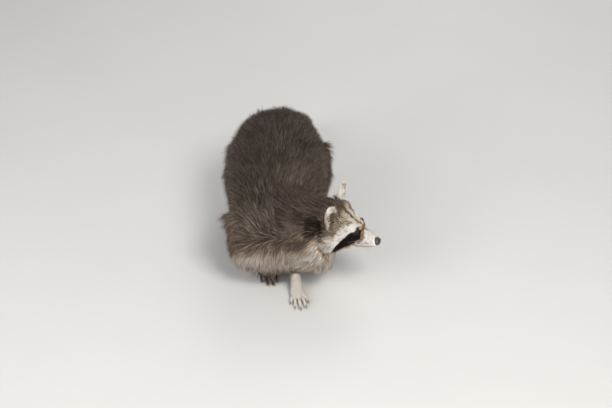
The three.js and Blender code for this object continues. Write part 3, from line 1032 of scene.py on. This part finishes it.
# Painted shade between the hairs: the skin darkens by up to half towards near black where the fleck is low.
gap = (0.55 - skin_finish.value(fleck)).limited(0, 0.5)
skin_colour = skin_finish.mix(skin_colour, (0.03, 0.024, 0.022), gap)
skin_finish.link(Base_Color=skin_colour, Normal=skin_finish.bump(fleck, 0.5, 0.0006))
print("finishes:", [f.material.name for f in (grey_coat, pale_coat, dark_coat, skin_finish)])


# %% [markdown]
# ## The skin in the scene
#
# The skin of a living raccoon is hardly seen, but gaps in a coat of mesh would show it, so it carries the
# same markings as the hair above it. They are stored at its points, asked for where the coat's surface
# lies. Under the deep coat its normals are averaged over their neighbours, or each bump of the flesh would
# turn the tufts that stand on it.

# %% Put the skin in the scene
def give_points(mesh, name, values):
    """Stores three numbers for each point."""
    layer = mesh.attributes.new(name, "FLOAT_VECTOR", "POINT")
    layer.data.foreach_set("vector", np.asarray(values, np.float32).ravel())


TRIANGLES = np.empty(len(skin_mesh.polygons) * 3, np.int32)
skin_mesh.polygons.foreach_get("vertices", TRIANGLES)
TRIANGLES = TRIANGLES.reshape(-1, 3)


def averaged(vectors, rounds):
    """Directions averaged with those of the neighbouring points, over and over."""
    a, b = np.vstack([TRIANGLES[:, [0, 1]], TRIANGLES[:, [1, 2]], TRIANGLES[:, [2, 0]]]).T
    for _ in range(rounds):
        size = len(vectors)
        around = [np.bincount(a, v[b], size) + np.bincount(b, v[a], size) for v in vectors.T]
        vectors = unit(vectors + np.stack(around, 1))
    return vectors


skin_points, skin_normals = points_of(skin_mesh), normals_of(skin_mesh)
skin_survey, skin_ear = survey(skin_points), ear_place(skin_points)
deep = step(4, 12, skin_survey["coat"])[:, None] * ~skin_ear["on"][:, None]
coat_normals = unit(skin_normals * (1 - deep) + averaged(skin_normals, 16) * deep)
seen_at = skin_points + skin_normals * (skin_survey["coat"] * np.where(skin_ear["on"], 0, 0.8))[:, None]
even = np.full(len(seen_at), 0.5)
give_points(skin_mesh, "markings", markings(seen_at, skin_normals, skin_survey, skin_ear, even))
FLESH = [n for n in frame["nodes"] if n not in ("nose", "eye_left", "eye_right")]
print("nodes the skin stands for:", len(FLESH))
add_piece("skin", skin_mesh, skin_finish.material, "grey_coat", *FLESH)

# %% [markdown]
# ## Roots of the coat
#
# The number of tufts is what the coat can afford, so they go where they count: they stand closest on the
# muzzle and the ears and much further apart on the trunk. Roots are spread over the skin's triangles in
# step with their area, which keeps them even where free random picks would leave bald spots.

# %% Sample the roots
corner = skin_points[TRIANGLES]
face_area = np.linalg.norm(np.cross(corner[:, 1] - corner[:, 0], corner[:, 2] - corner[:, 0]), axis=1) / 2
face_centre = corner.mean(1)
face_survey, face_ear = survey(face_centre), ear_place(face_centre)
face_name = np.array(NAMES)[face_survey["part"]]
face_ear["on"] &= face_survey["q_head"] > 1.02


def scatter(count, weight):
    """Count roots in proportion to weight times area: the running total is cut into equal steps, one random
    point in each, and two random shares place it inside its triangle."""
    total = np.cumsum(weight * face_area)
    picks = np.searchsorted(total, (np.arange(count) + rng.random(count)) / count * total[-1])
    picks = np.minimum(picks, len(total) - 1)
    a, b = rng.random((2, count))
    a, b = np.where(a + b > 1, 1 - a, a), np.where(a + b > 1, 1 - b, b)
    share = np.stack([1 - a - b, a, b], 1)
    place = (skin_points[TRIANGLES[picks]] * share[..., None]).sum(1)
    normal = unit((coat_normals[TRIANGLES[picks]] * share[..., None]).sum(1))
    return place, normal


# %% [markdown]
# ## One tuft
#
# A tuft is a closed spike with three edges that bends over: it leaves the skin at a lift, and its outer
# half lies lower. It has two rings and a tip, ten triangles in all, so that about 150,000 of them stay
# affordable. Neighbours lean towards common lines, which parts the coat into soft locks.

# %% Tufts as closed spikes
LEVELS = np.array([0.0, 0.52])
RIGHT = [[k, (k + 1) % 3, (k + 1) % 3 + 3] for k in range(3)]
LEFT = [[k, (k + 1) % 3 + 3, k + 3] for k in range(3)]
SPIKE = np.array([[0, 2, 1], *RIGHT, *LEFT, [3, 4, 6], [4, 5, 6], [5, 3, 6]])


# A tuft's patch on the OFBake map, and how far tufts may reach: the solids' box and a few mm round it.
PATCH = 0.003
REACH = np.array(cad_box) / MM - SHIFT + np.array([[-8, -8, -8], [8, 8, 2]])


def grow(place, normal, direction, length, width, lift, locks, hang):
    """Points (count, 7, 3) of bent spikes: root, middle and tip span a quadratic curve. A spike that would
    end outside the reach, the box of the solids and a few millimetres, is scaled down about its root."""
    count = len(place)
    spread = rng.normal(size=(count, 3)) * 0.13
    lead = unit(direction + spread + locks)
    lead = unit(lead - normal * (lead * normal).sum(1, keepdims=True))
    first = lead * np.cos(lift)[:, None] + normal * np.sin(lift)[:, None]
    low = lift * 0.36
    second = lead * np.cos(low)[:, None] + normal * np.sin(low)[:, None]
    first[:, 2] -= 0.22 * hang
    second[:, 2] -= 0.60 * hang
    first, second = unit(first), unit(second)
    root = place - normal * np.where(length > 12, 1.2, 0.5)[:, None]
    middle = root + first * (length * 0.5)[:, None]
    tip = middle + second * (length * 0.5)[:, None]
    across = unit(np.cross(lead, normal))
    rings = []
    for t in LEVELS:
        centre = root * (1 - t) ** 2 + middle * 2 * t * (1 - t) + tip * t**2
        ahead = unit((middle - root) * (1 - t) + (tip - middle) * t)
        rise = unit(np.cross(across, ahead))
        half = (width * 0.5 * (1 - 0.55 * t**1.6) * (0.62 + 0.38 * min(t / 0.3, 1)))[:, None]
        rings += [centre - across * half, centre + across * half, centre + rise * half * 0.75]
    spikes = np.stack(rings + [tip], 1)
    reach = tip - root
    room = np.where(reach > 0, REACH[1] - root, REACH[0] - root) / np.where(np.abs(reach) > 0.1, reach, 0.1)
    share = np.where(np.abs(reach) > 0.1, np.clip(room, 0.2, 1), 1).min(1)
    return root[:, None] + (spikes - root[:, None]) * share[:, None, None]


def coat_mesh(name, spikes, marks, chance, tone, unwrap):
    """One mesh from all spikes of a piece, with its markings, its strand values and the OFBake map."""
    count, each = spikes.shape[:2]
    spikes[..., 2] = np.maximum(spikes[..., 2], 0.2)
    faces = (np.arange(count)[:, None, None] * each + SPIKE).reshape(-1, 3)
    mesh = make_mesh(name, to_metres(spikes.reshape(-1, 3)), faces)
    along = np.append(np.repeat(LEVELS, 3), 1.0)
    strand = np.stack([np.tile(along, count), np.repeat(chance, each), np.repeat(tone, each)], 1)
    give_points(mesh, "strand", strand)
    give_points(mesh, "markings", np.repeat(marks, each, 0))
    sideways = np.array([-1.0, 1.0, 0.0] * 2 + [0.0])
    cell = np.stack([sideways, along * 2 - 1], 1) * PATCH / 2
    uv = (unwrap[:, None] + cell[None]).reshape(-1, 2)[faces.ravel()]
    layer = mesh.uv_layers.new(name="OFBake")
    layer.data.foreach_set("uv", uv.astype(np.float32).ravel())
    return mesh


print("faces of a tuft:", len(SPIKE))

# %% [markdown]
# ## The coat in pieces
#
# The coat is one finish under three names, one for each slot of the record, and a dozen meshes, because a
# mesh of more than 200,000 triangles is thinned when it is saved. Each piece takes the roots of its own
# region. Length, width and lift all come from the depth of the coat at the root: shallow fur lies nearly
# flat, deep fur stands and bends.
# region. Length, width and lift all come from the depth of the coat at the root: shallow fur lies nearly
# flat, deep fur stands and bends.

# %% Region by region
def length_of(coat):
    """A tuft is 3.2 mm longer than 1.62 times the depth that it has to cover."""
    return 3.2 + 1.62 * coat


def locks_of(place, s, coat, direction, normal):
    """Cells round and along each length stand for locks: a tuft leans towards the middle line of its cell by
    its distance from it, and shares the cell's tone, from -1 to 1, which comes from the cell's place."""
    girth, run = (np.array([SIZES[name][k] for name in NAMES])[s["part"]] for k in (0, 1))
    wide = 4.0 + 0.14 * coat
    bend = 0.5 * ripple(place, 34, 61)
    cell_round = s["angle"] * girth / wide + bend
    row = np.floor(cell_round)
    cell_along = s["t"] * run / (wide * 2.6) + 0.37 * row + 0.3 * ripple(place, 22, 62)
    off = (cell_round - row - 0.5) * wide
    across = np.cross(normal, direction)
    scramble = np.sin(row * 12.9898 + np.floor(cell_along) * 78.233) * 43758.5453
    turn = np.sign((across * s["round"]).sum(1))
    share = -0.85 * off * turn * step(1.5, 6, coat)
    return across * share[:, None], 2 * (scramble - np.floor(scramble)) - 1


# The sine of a tuft's lift for each mm of coat in a mm of tuft, lower on the upper legs, and its limits.
BODY_RISE, LEG_RISE, LEAST_RISE, MOST_RISE = 1.18, 0.80, 0.12, 0.92


def region_tufts(name, mask, count, finish, slot, density=None):
    """Grows one piece of coat from the roots inside a region of the skin's triangles."""
    place, normal = scatter(count, mask * (1.0 if density is None else density))
    s, ear = survey(place), ear_place(place)
    ear["on"] &= s["q_head"] > 1.02
    h = to_head(place)
    chance = rng.random(count)
    coat = np.where(ear["on"], 1.0, s["coat"] + 6.0 * ruff(h) * s["head"])
    part_name = names_at(s)
    furred = 3.0 * starts(part_name, "paw_hind") + 1.8 * starts(part_name, "paw_fore")
    coat = np.maximum(coat, furred * step(6, 17, place[:, 2]))
    length = length_of(coat) * (1 + 0.30 * ruff(h) * s["head"]) * rng.uniform(0.72, 1.15, count)
    by_eye = step(20, 11, np.minimum(*(np.linalg.norm(h - EYE * [k, 1, 1], axis=1) for k in (1, -1))))
    length = length * (1 - 0.35 * by_eye)
    ear_length = 4.4 + 0.8 * step(0.7, 0.95, np.maximum(ear["edge"], ear["z"]))
    length = np.where(ear["on"], ear_length * rng.uniform(0.7, 1.2, count), length)
    share = np.where(starts(part_name, "upper"), LEG_RISE, BODY_RISE)
    rise = np.clip(coat / length * share, LEAST_RISE, MOST_RISE)
    lift = np.arcsin(rise) * rng.uniform(0.85, 1.12, count)
    wide = np.clip(0.55 + 0.034 * coat, 0.55, 1.4) * (1 - 0.35 * by_eye) * rng.uniform(0.75, 1.25, count)
    wide = wide * np.where(ear["on"], 0.85, 1)
    direction = lie(place, normal, s, ear)
    wave = np.stack([ripple(place, 26, k) for k in (31, 32, 33)], 1) * 0.10 * step(2, 14, coat)[:, None]
    pull, lock_tone = locks_of(place, s, coat, direction, normal)
    on_tail = part_name == "tail"
    length = length * (1 + 0.20 * lock_tone * step(6, 14, coat))
    length = length * (1 - 0.45 * step(0.86, 1.0, s["t"]) * on_tail)
    length = length * (1 - 0.30 * step(-135, -165, place[:, 0]))
    hang = step(8, 20, s["coat"]) * step(0.75, 0.1, normal[:, 2]) * np.where(on_tail, 0.2, 1)
    hang = np.maximum(hang, 0.7 * ruff(h) * s["head"])
    spikes = grow(place, normal, direction, length, wide, lift, wave + pull / length[:, None], hang)
    seen = spikes[:, -1] * 0.5 + spikes[:, 3] * 0.5
    marks = markings(seen, normal, s, ear, chance)
    tone = 0.25 * ripple(place, 30, 52) + 0.35 * lock_tone + 0.3 * rng.normal(size=count)
    tone = (tone + 0.85 * ripple(seen, 10, 53) + 0.40 * ripple(seen, 5, 54)) * (0.4 + 0.6 * step(4, 14, coat))
    ear_lane = 40 + (ear["sign"] > 0) + 80 * (ear["back"] > 0)
    lane = s["part"] * 2 + np.where(ear["on"], ear_lane, 0)
    lanes, lane = np.unique(lane, return_inverse=True)
    across = np.where(ear["on"], ear["x"] * 0.45, s["angle"] / (2 * np.pi) * 0.98)
    up = np.where(ear["on"], 0.5 + ear["z"] * 0.45, s["t"])
    unwrap = np.stack([(lane + 0.5 + across) / len(lanes), 0.01 + 0.98 * np.clip(up, 0, 1)], 1)
    mesh = coat_mesh(name, spikes, marks, chance, np.clip(tone, -1.5, 1.5), unwrap)
    print(f"{name}: {count} tufts, {len(mesh.polygons)} triangles, mean length {length.mean():.0f} mm")
    return add_piece(name, mesh, finish.material, slot, *FLESH)


quick = 1.0
on_head = (face_name == "head") & ~face_ear["on"]
hx, hy, hz = to_head(face_centre).T
muzzle_bare = (np.linalg.norm(np.column_stack([hx, hy - 7, hz + 5]) / [10.6, 8.8, 8.2], axis=1) > 1.0) * 1.0
eye_bare = np.ones(len(hx))
for sign in (1, -1):
    gaze, outer, raised = eye_axes(sign)
    rel = to_head(face_centre) - EYE * [sign, 1, 1]
    near = (rel @ gaze > -6) & (np.linalg.norm(rel, axis=1) < 13)
    eye_bare = np.where(near & (almond(rel @ outer, rel @ raised) < 1.25), 0.0, eye_bare)
front = 1 + 1.6 * step(70, 40, hy)
bare = muzzle_bare * eye_bare * front
fore = face_centre[:, 1] < -40
aft = face_centre[:, 1] >= 75
trunk = face_name == "trunk"
jobs = [
    ("coat_head_left", on_head & (hx > 0), 16500, pale_coat, "pale_coat", bare),
    ("coat_head_right", on_head & (hx <= 0), 18500, pale_coat, "pale_coat", bare),
    ("coat_ears", face_ear["on"], 13500, pale_coat, "pale_coat", 1 + 1.5 * step(0.7, 0.9, face_ear["edge"])),
    ("coat_neck", starts(face_name, "neck"), 16000, grey_coat, "grey_coat", None),
    ("coat_chest", trunk & fore, 17000, grey_coat, "grey_coat", None),
    ("coat_loin", trunk & ~fore & ~aft, 13500, grey_coat, "grey_coat", None),
    ("coat_rump", trunk & aft, 11500, grey_coat, "grey_coat", None),
    ("coat_shoulders", starts(face_name, "upper_fore"), 8000, grey_coat, "grey_coat", None),
    ("coat_thighs", starts(face_name, "upper_hind"), 8500, grey_coat, "grey_coat", None),
    ("coat_tail", starts(face_name, "tail"), 9500, dark_coat, "dark_coat", None),
    ("coat_forelegs", starts(face_name, "lower_fore", "paw_fore"), 8000, dark_coat, "dark_coat", None),
    ("coat_hindlegs", starts(face_name, "lower_hind", "paw_hind"), 8500, dark_coat, "dark_coat", None),
]
tufts = 0
for name, mask, count, finish, slot, density in jobs:
    piece = region_tufts(name, mask.astype(float), int(count * quick), finish, slot, density)
    tufts += len(piece.data.polygons)
print("triangles of coat:", tufts)

# %% [markdown]
# ## Eyes
#
# A raccoon's eye looks almost black: a dark brown iris, a wide pupil and a wet surface that catches the
# lamps. The eyeball is a ball of rings about the line of sight, so the angle from the pupil's centre is
# known at each point.

# %% Eyeballs and the rims of the lids
EYE_GRID, NOSE_GRID, CLAW_GRID = (34, 48), (56, 72), (9, 10)


def eyeball(sign, rings, around):
    """A sphere about the line of sight with a slight bulge of the cornea in front."""
    gaze, outer, raised = eye_axes(sign)
    bend = np.linspace(0, np.pi, rings + 2)[1:-1]
    angle = turns(around)
    radius = EYE_RADIUS - 0.25 + 0.55 * np.exp(-((bend / 0.62) ** 2))
    flat = (radius * np.sin(bend))[:, None]
    round_about = np.cos(angle)[:, None] * outer + np.sin(angle)[:, None] * raised * -1
    points = flat[..., None] * round_about[None] + (radius * np.cos(bend))[:, None, None] * gaze
    points = np.vstack([points.reshape(-1, 3), [gaze * radius[0], -gaze * radius[-1]]])
    return from_head(points + EYE * [sign, 1, 1]), np.append(np.repeat(bend, around), [0, np.pi])


def outward(points, *faces):
    """The same faces, turned round if the volume they enclose comes out negative."""
    volume = sum(
        np.einsum("ij,ij->i", points[f[:, 0]], np.cross(points[f[:, k]], points[f[:, k + 1]])).sum()
        for f in faces for k in range(1, f.shape[1] - 1)
    )
    return [f if volume > 0 else f[:, ::-1] for f in faces]


def closed_mesh(name, points, *faces):
    """A closed mesh from points of the animal's frame, with its faces outwards."""
    return make_mesh(name, to_metres(points), *outward(points - points.mean(0), *faces))


eye_finish = Finish("eye_gloss", Roughness=0.08, Coat_Weight=0.25, Coat_Roughness=0.02, IOR=1.34,
                    Specular_IOR_Level=0.35)
bend = eye_finish.attribute("strand")[0]
spokes = eye_finish.pattern("Noise", 900.0, Detail=2.0)
iris = eye_finish.mix((0.010, 0.006, 0.004), (0.030, 0.016, 0.009), spokes)
pupil = ((bend - 0.36) * 25).limited()
white_rim = ((bend - 1.02) * 12).limited()
iris = eye_finish.mix((0.002, 0.002, 0.002), iris, pupil)
eye_finish.link(Base_Color=eye_finish.mix(iris, (0.10, 0.075, 0.06), white_rim * 0.6))
lid_finish = Finish("eyelid_rim", Roughness=0.35, Specular_IOR_Level=0.5)
grain = lid_finish.pattern("Noise", 1500.0)
lid_finish.link(Base_Color=lid_finish.mix((0.010, 0.008, 0.008), (0.035, 0.026, 0.024), grain),
                Normal=lid_finish.bump(grain, 0.3, 0.0003))


def lid_rim(sign, along=72, around=10):
    """A thin closed roll round the almond opening, laid on a ball just over the eyeball."""
    gaze, outer, raised = eye_axes(sign)
    t = turns(along)
    a = OPENING[0] * 1.03 * np.cos(t)
    b = OPENING[1] * 1.03 * np.sin(t) * pinch(a)
    ball = EYE_RADIUS + 0.25
    centre = a[:, None] * outer + b[:, None] * raised + np.sqrt(ball**2 - a**2 - b**2)[:, None] * gaze
    ahead = unit(np.roll(centre, -1, 0) - np.roll(centre, 1, 0))
    rise = unit(centre)
    side = np.cross(ahead, rise)
    s = turns(around)
    thick = 0.62 + 0.12 * np.sin(t)
    rings = centre[:, None] + thick[:, None, None] * (
        np.cos(s)[None, :, None] * side[:, None] * 1.25 + np.sin(s)[None, :, None] * rise[:, None]
    )
    grid = np.arange(along * around).reshape(along, around)
    onward = np.roll(grid, -1, 0)
    quads = np.stack([grid, onward, np.roll(onward, -1, 1), np.roll(grid, -1, 1)], -1)
    return from_head(rings.reshape(-1, 3) + EYE * [sign, 1, 1]), quads.reshape(-1, 4)


for sign, side in ((1, "left"), (-1, "right")):
    points, bend_at = eyeball(sign, *EYE_GRID)
    mesh = closed_mesh("eyeball_" + side, points, *ring_faces(*EYE_GRID))
    give_points(mesh, "strand", np.stack([bend_at, 0 * bend_at, 0 * bend_at], 1))
    add_piece("eyeball_" + side, mesh, eye_finish.material, "eye_gloss", "eye_" + side)
    mesh = closed_mesh("eyelid_" + side, *lid_rim(sign))
    add_piece("eyelid_" + side, mesh, lid_finish.material, "eye_gloss")
print("eyes and lids made")

# %% [markdown]
# ## Nose
#
# The nose is bare, moist and pebbled. It is a rounded pad with a groove from top to lip and a nostril on
# each side that opens forwards and runs out into a slit. The pad is a ball pushed in and out by direction.

# %% Nose pad
def nose_pad(rings, around):
    """r(direction) = 1 - groove - two pits - two slits + two wings, times the half sizes of the pad."""
    bend = np.linspace(0, np.pi, rings + 2)[1:-1]
    angle = turns(around)
    x = (np.sin(bend)[:, None] * np.cos(angle)).ravel()
    z = (np.sin(bend)[:, None] * np.sin(angle)).ravel()
    y = -np.repeat(np.cos(bend), around)
    direction = np.vstack([np.column_stack([x, y, z]), [[0, -1, 0], [0, 1, 0]]])
    x, y, z = direction.T
    wide = np.abs(x)
    groove = 0.10 * np.exp(-((x / 0.07) ** 2)) * step(0.35, -0.1, z) * step(0.1, -0.4, y)
    pit = 0.36 * np.exp(-(((wide - 0.50) / 0.17) ** 2) - (((z + 0.08) / 0.19) ** 2)) * (y < 0.2)
    slit_height = -0.12 - 0.35 * (wide - 0.6)
    slit = 0.16 * np.exp(-(((z - slit_height) / 0.09) ** 2)) * step(0.55, 0.75, wide) * step(0.6, 0.1, y)
    wing = 0.07 * np.exp(-(((wide - 0.55) / 0.22) ** 2) - (((z - 0.28) / 0.2) ** 2))
    reach = 1 - groove - pit - slit + wing
    size = np.array([11.2, 9.4, 8.8]) * (1 - 0.14 * step(0.1, -0.9, z))[:, None] ** [1, 0, 0]
    return from_head(direction * reach[:, None] * size + [0, 7, -5])


nose_finish = Finish("nose_skin", Specular_IOR_Level=0.55, Coat_Roughness=0.25, Coat_Weight=0.35)
pebble, damp = nose_finish.pattern("Voronoi", 1250.0), nose_finish.pattern("Noise", 260.0, Detail=2.0)
nose_finish.link(
    Base_Color=nose_finish.mix((0.010, 0.010, 0.012), (0.040, 0.040, 0.046), damp),
    Roughness=0.30 + nose_finish.value(damp) * 0.25,
    Normal=nose_finish.bump(pebble, 0.55, 0.0003),
)
mesh = closed_mesh("nose_pad", nose_pad(*NOSE_GRID), *ring_faces(*NOSE_GRID))
add_piece("nose_pad", mesh, nose_finish.material, "nose_skin", "nose")
print("nose pad:", len(mesh.polygons), "faces")

# %% [markdown]
# ## Claws
#
# Twenty claws, short and curved, dark at the root and paler at the point. Each is
# carried along an arc from inside the toe's tip down towards the floor, taller than wide, with a keel on
# top.

# %% Claws, one piece to a paw
def claw(digit, place, rings, around):
    """Rings along an arc that bends down by 3.6 s^2: half height 1.9 (1 - s)^0.75 + 0.12, half width 0.62 of
    that."""
    x, y, splay, length = digit
    dx, dy = np.sin(np.radians(splay)), -np.cos(np.radians(splay))
    s = np.linspace(0, 0.97, rings)
    out = length - 2.6 + 9.6 * s
    high = 5.6 + 0.8 * np.sin(np.pi * s) - 3.6 * s**2
    angle = turns(around)
    tall = 1.9 * (1 - s) ** 0.75 + 0.12
    side = (0.62 * tall)[:, None] * np.cos(angle)
    rise = tall[:, None] * np.sin(angle) * (1 + 0.12 * (np.sin(angle) > 0))
    centre = np.stack([x + dx * out, y + dy * out, high], 1)
    across = np.array([-dy, dx, 0])
    rings_at = centre[:, None] + side[..., None] * across + rise[..., None] * UP
    poles = [centre[0] - [dx, dy, 0], centre[-1] + [dx * 0.6, dy * 0.6, -0.25]]
    points = np.vstack([rings_at.reshape(-1, 3), poles])
    turn, origin = paw_frame(place)
    return points @ turn.T + origin, np.append(np.repeat(s, around), [0, 1])


claw_finish = Finish("claw_horn", Roughness=0.38, Specular_IOR_Level=0.5, Coat_Weight=0.15)
along = claw_finish.attribute("strand")[0]
streak = claw_finish.pattern("Noise", 700.0)
horn = claw_finish.mix((0.055, 0.038, 0.028), (0.32, 0.25, 0.185), (along * 1.1).limited())
claw_finish.link(Base_Color=claw_finish.mix(horn, (0.09, 0.06, 0.045), claw_finish.value(streak) * 0.5),
                 Normal=claw_finish.bump(streak, 0.3, 0.0002))
for leg, (_, _, place) in LEGS.items():
    made = [claw(d, place, *CLAW_GRID) for d in (HINDDIGITS if leg.startswith("hind") else FOREDIGITS)]
    mesh = closed_mesh("claws_" + leg, *joined([(m[0], *ring_faces(*CLAW_GRID)) for m in made]))
    give_points(mesh, "strand", np.stack([np.concatenate([m[1] for m in made])] * 3, 1))
    add_piece("claws_" + leg, mesh, claw_finish.material, None)
print("claws made")

# %% [markdown]
# ## Whiskers
#
# Stiff pale bristles in rows on each side of the muzzle and a few over the eyes. Each is a thin tube that
# tapers to nothing and sags a little.

# %% Whiskers
def whiskers(rows, rings=8, around=5):
    """Tubes along root + L s d, lowered by 0.16 L s^2, with a radius of 0.18 (1 - s)^0.8 + 0.02."""
    root, lead, length = (np.array([row[k] for row in rows], float) for k in range(3))
    lead = unit(lead)
    s = np.linspace(0, 1, rings)
    centre = root[:, None] + lead[:, None] * (length[:, None] * s)[..., None]
    centre[..., 2] -= (length * 0.16)[:, None] * s**2
    side = unit(np.cross(lead, [0, 0, 1.0]))
    top = np.cross(side, lead)
    angle = turns(around)
    radius = 0.18 * (1 - s) ** 0.8 + 0.02
    wheel = side[:, None] * np.cos(angle)[:, None] + top[:, None] * np.sin(angle)[:, None]
    rings_at = centre[:, :, None] + wheel[:, None] * radius[None, :, None, None]
    tips = np.stack([centre[:, 0] - lead * 0.3, centre[:, -1] + lead * 0.4], 1)
    points = np.concatenate([rings_at.reshape(len(rows), -1, 3), tips], 1)
    quads, caps = ring_faces(rings, around)
    offset = np.arange(len(rows))[:, None, None] * points.shape[1]
    return points.reshape(-1, 3), (quads + offset).reshape(-1, 4), (caps + offset).reshape(-1, 3)


face_points = to_head(skin_points)
face_front = np.flatnonzero((face_points[:, 1] < 75) & (np.linalg.norm(face_points, axis=1) < 95))
rows = []


def root_near(goal):
    """The point of the face that lies nearest to a place."""
    return face_points[face_front[np.argmin(np.linalg.norm(face_points[face_front] - goal, axis=1))]]


for sign in (1, -1):
    for level in range(4):
        for k in range(5):
            goal = np.array([sign * (15 + 1.5 * k), 13 + 4.0 * k, 2.5 - 3.6 * level])
            lead = [sign * (0.95 - 0.05 * k), 0.15 + 0.16 * k + 0.1 * rng.random(), 0.16 - 0.17 * level]
            rows.append((root_near(goal), lead, 20 + 5.5 * k + 5 * rng.random()))
    for k in range(3):
        goal = np.array([sign * (17 + 3 * k), 52 + 2 * k, 28.0])
        rows.append((root_near(goal), [sign * (0.35 + 0.15 * k), 0.4, 0.8], 12 + 3 * rng.random()))
points, quads, caps = whiskers(rows)
whisker_finish = Finish("whisker", Roughness=0.4, Specular_IOR_Level=0.5)
shade = whisker_finish.pattern("Noise", 60.0)
whisker_finish.link(Base_Color=whisker_finish.mix((0.20, 0.17, 0.15), (0.80, 0.77, 0.72), shade))
mesh = closed_mesh("whiskers", from_head(points), quads, caps)
add_piece("whiskers", mesh, whisker_finish.material, "pale_coat")
print("whiskers:", len(rows))

# %% [markdown]
# ## Camera, floor and light
#
# The camera looks down at 35 degrees on the animal's chest with a long lens. The floor is plain and pale,
# and large soft lamps, three from above and one low in front, leave only faint shadows.

# %% Stage
TILT = np.radians(35)
AIM = np.array([50.0, -235.0, 0.0])
DISTANCE, TO_THE_RIGHT, UPWARDS = 2900, 15.2, 215.2
SENSOR, FRAME_WIDTH, FOCAL_PIXELS = 36, 612, 1334
away = np.array([0, -np.cos(TILT), np.sin(TILT)])
above = np.array([0, np.sin(TILT), np.cos(TILT)])
camera_at = AIM + away * DISTANCE + np.array([TO_THE_RIGHT, 0, 0]) + above * UPWARDS
lens = bpy.data.cameras.new("camera")
lens.lens, lens.sensor_width, lens.clip_end = SENSOR * FOCAL_PIXELS / FRAME_WIDTH, SENSOR, 50
camera = bpy.data.objects.new("camera", lens)
camera.location = to_metres(camera_at)
camera.rotation_euler = (np.pi / 2 - TILT, 0, 0)
bpy.context.scene.collection.objects.link(camera)
bpy.context.scene.camera = camera

FLOOR_HALF = 9.0
corners = np.array([[-1, -1, 0], [1, -1, 0], [1, 1, 0], [-1, 1, 0]]) * FLOOR_HALF
floor_mesh = make_mesh("floor", corners, np.array([[0, 1, 2, 3]]))
floor = bpy.data.objects.new("floor", floor_mesh)
bpy.context.scene.collection.objects.link(floor)
floor_finish = Finish("pale_floor", Roughness=0.9)
speck = floor_finish.pattern("Noise", 3.0)
floor_finish.link(Base_Color=floor_finish.mix((0.60, 0.59, 0.57), (0.64, 0.63, 0.61), speck))
floor_mesh.materials.append(floor_finish.material)


def lamp(name, place, aim, size, power, colour):
    """A square soft lamp at a place, turned to shine at a point."""
    light = bpy.data.lights.new(name, "AREA")
    light.shape, light.size, light.energy, light.color = "SQUARE", size, power, colour
    item = bpy.data.objects.new(name, light)
    item.location = place
    towards = np.asarray(aim, float) - place
    item.rotation_euler = (np.arctan2(np.hypot(towards[0], towards[1]), -towards[2]),
                           0, np.arctan2(towards[1], towards[0]) - np.pi / 2)
    bpy.context.scene.collection.objects.link(item)


lamp("key", (0.9, -1.6, 2.2), (0, -0.1, 0.1), 1.0, 50, (1.0, 0.985, 0.96))
lamp("fill", (-1.8, -1.4, 1.3), (0, -0.1, 0.1), 1.6, 32, (0.97, 0.98, 1.0))
lamp("low", (0.35, -2.3, 0.30), (0, -0.2, 0.08), 1.0, 16, (1.0, 0.98, 0.95))
lamp("back", (0.5, 1.9, 1.9), (0, 0.0, 0.15), 1.4, 22, (1.0, 1.0, 1.0))
world = bpy.data.worlds.new("studio")
world.use_nodes = True
world.node_tree.nodes["Background"].inputs[0].default_value = (0.92, 0.94, 0.96, 1)
world.node_tree.nodes["Background"].inputs[1].default_value = 0.35
bpy.context.scene.world = world
bpy.context.scene.view_settings.view_transform = "Standard"
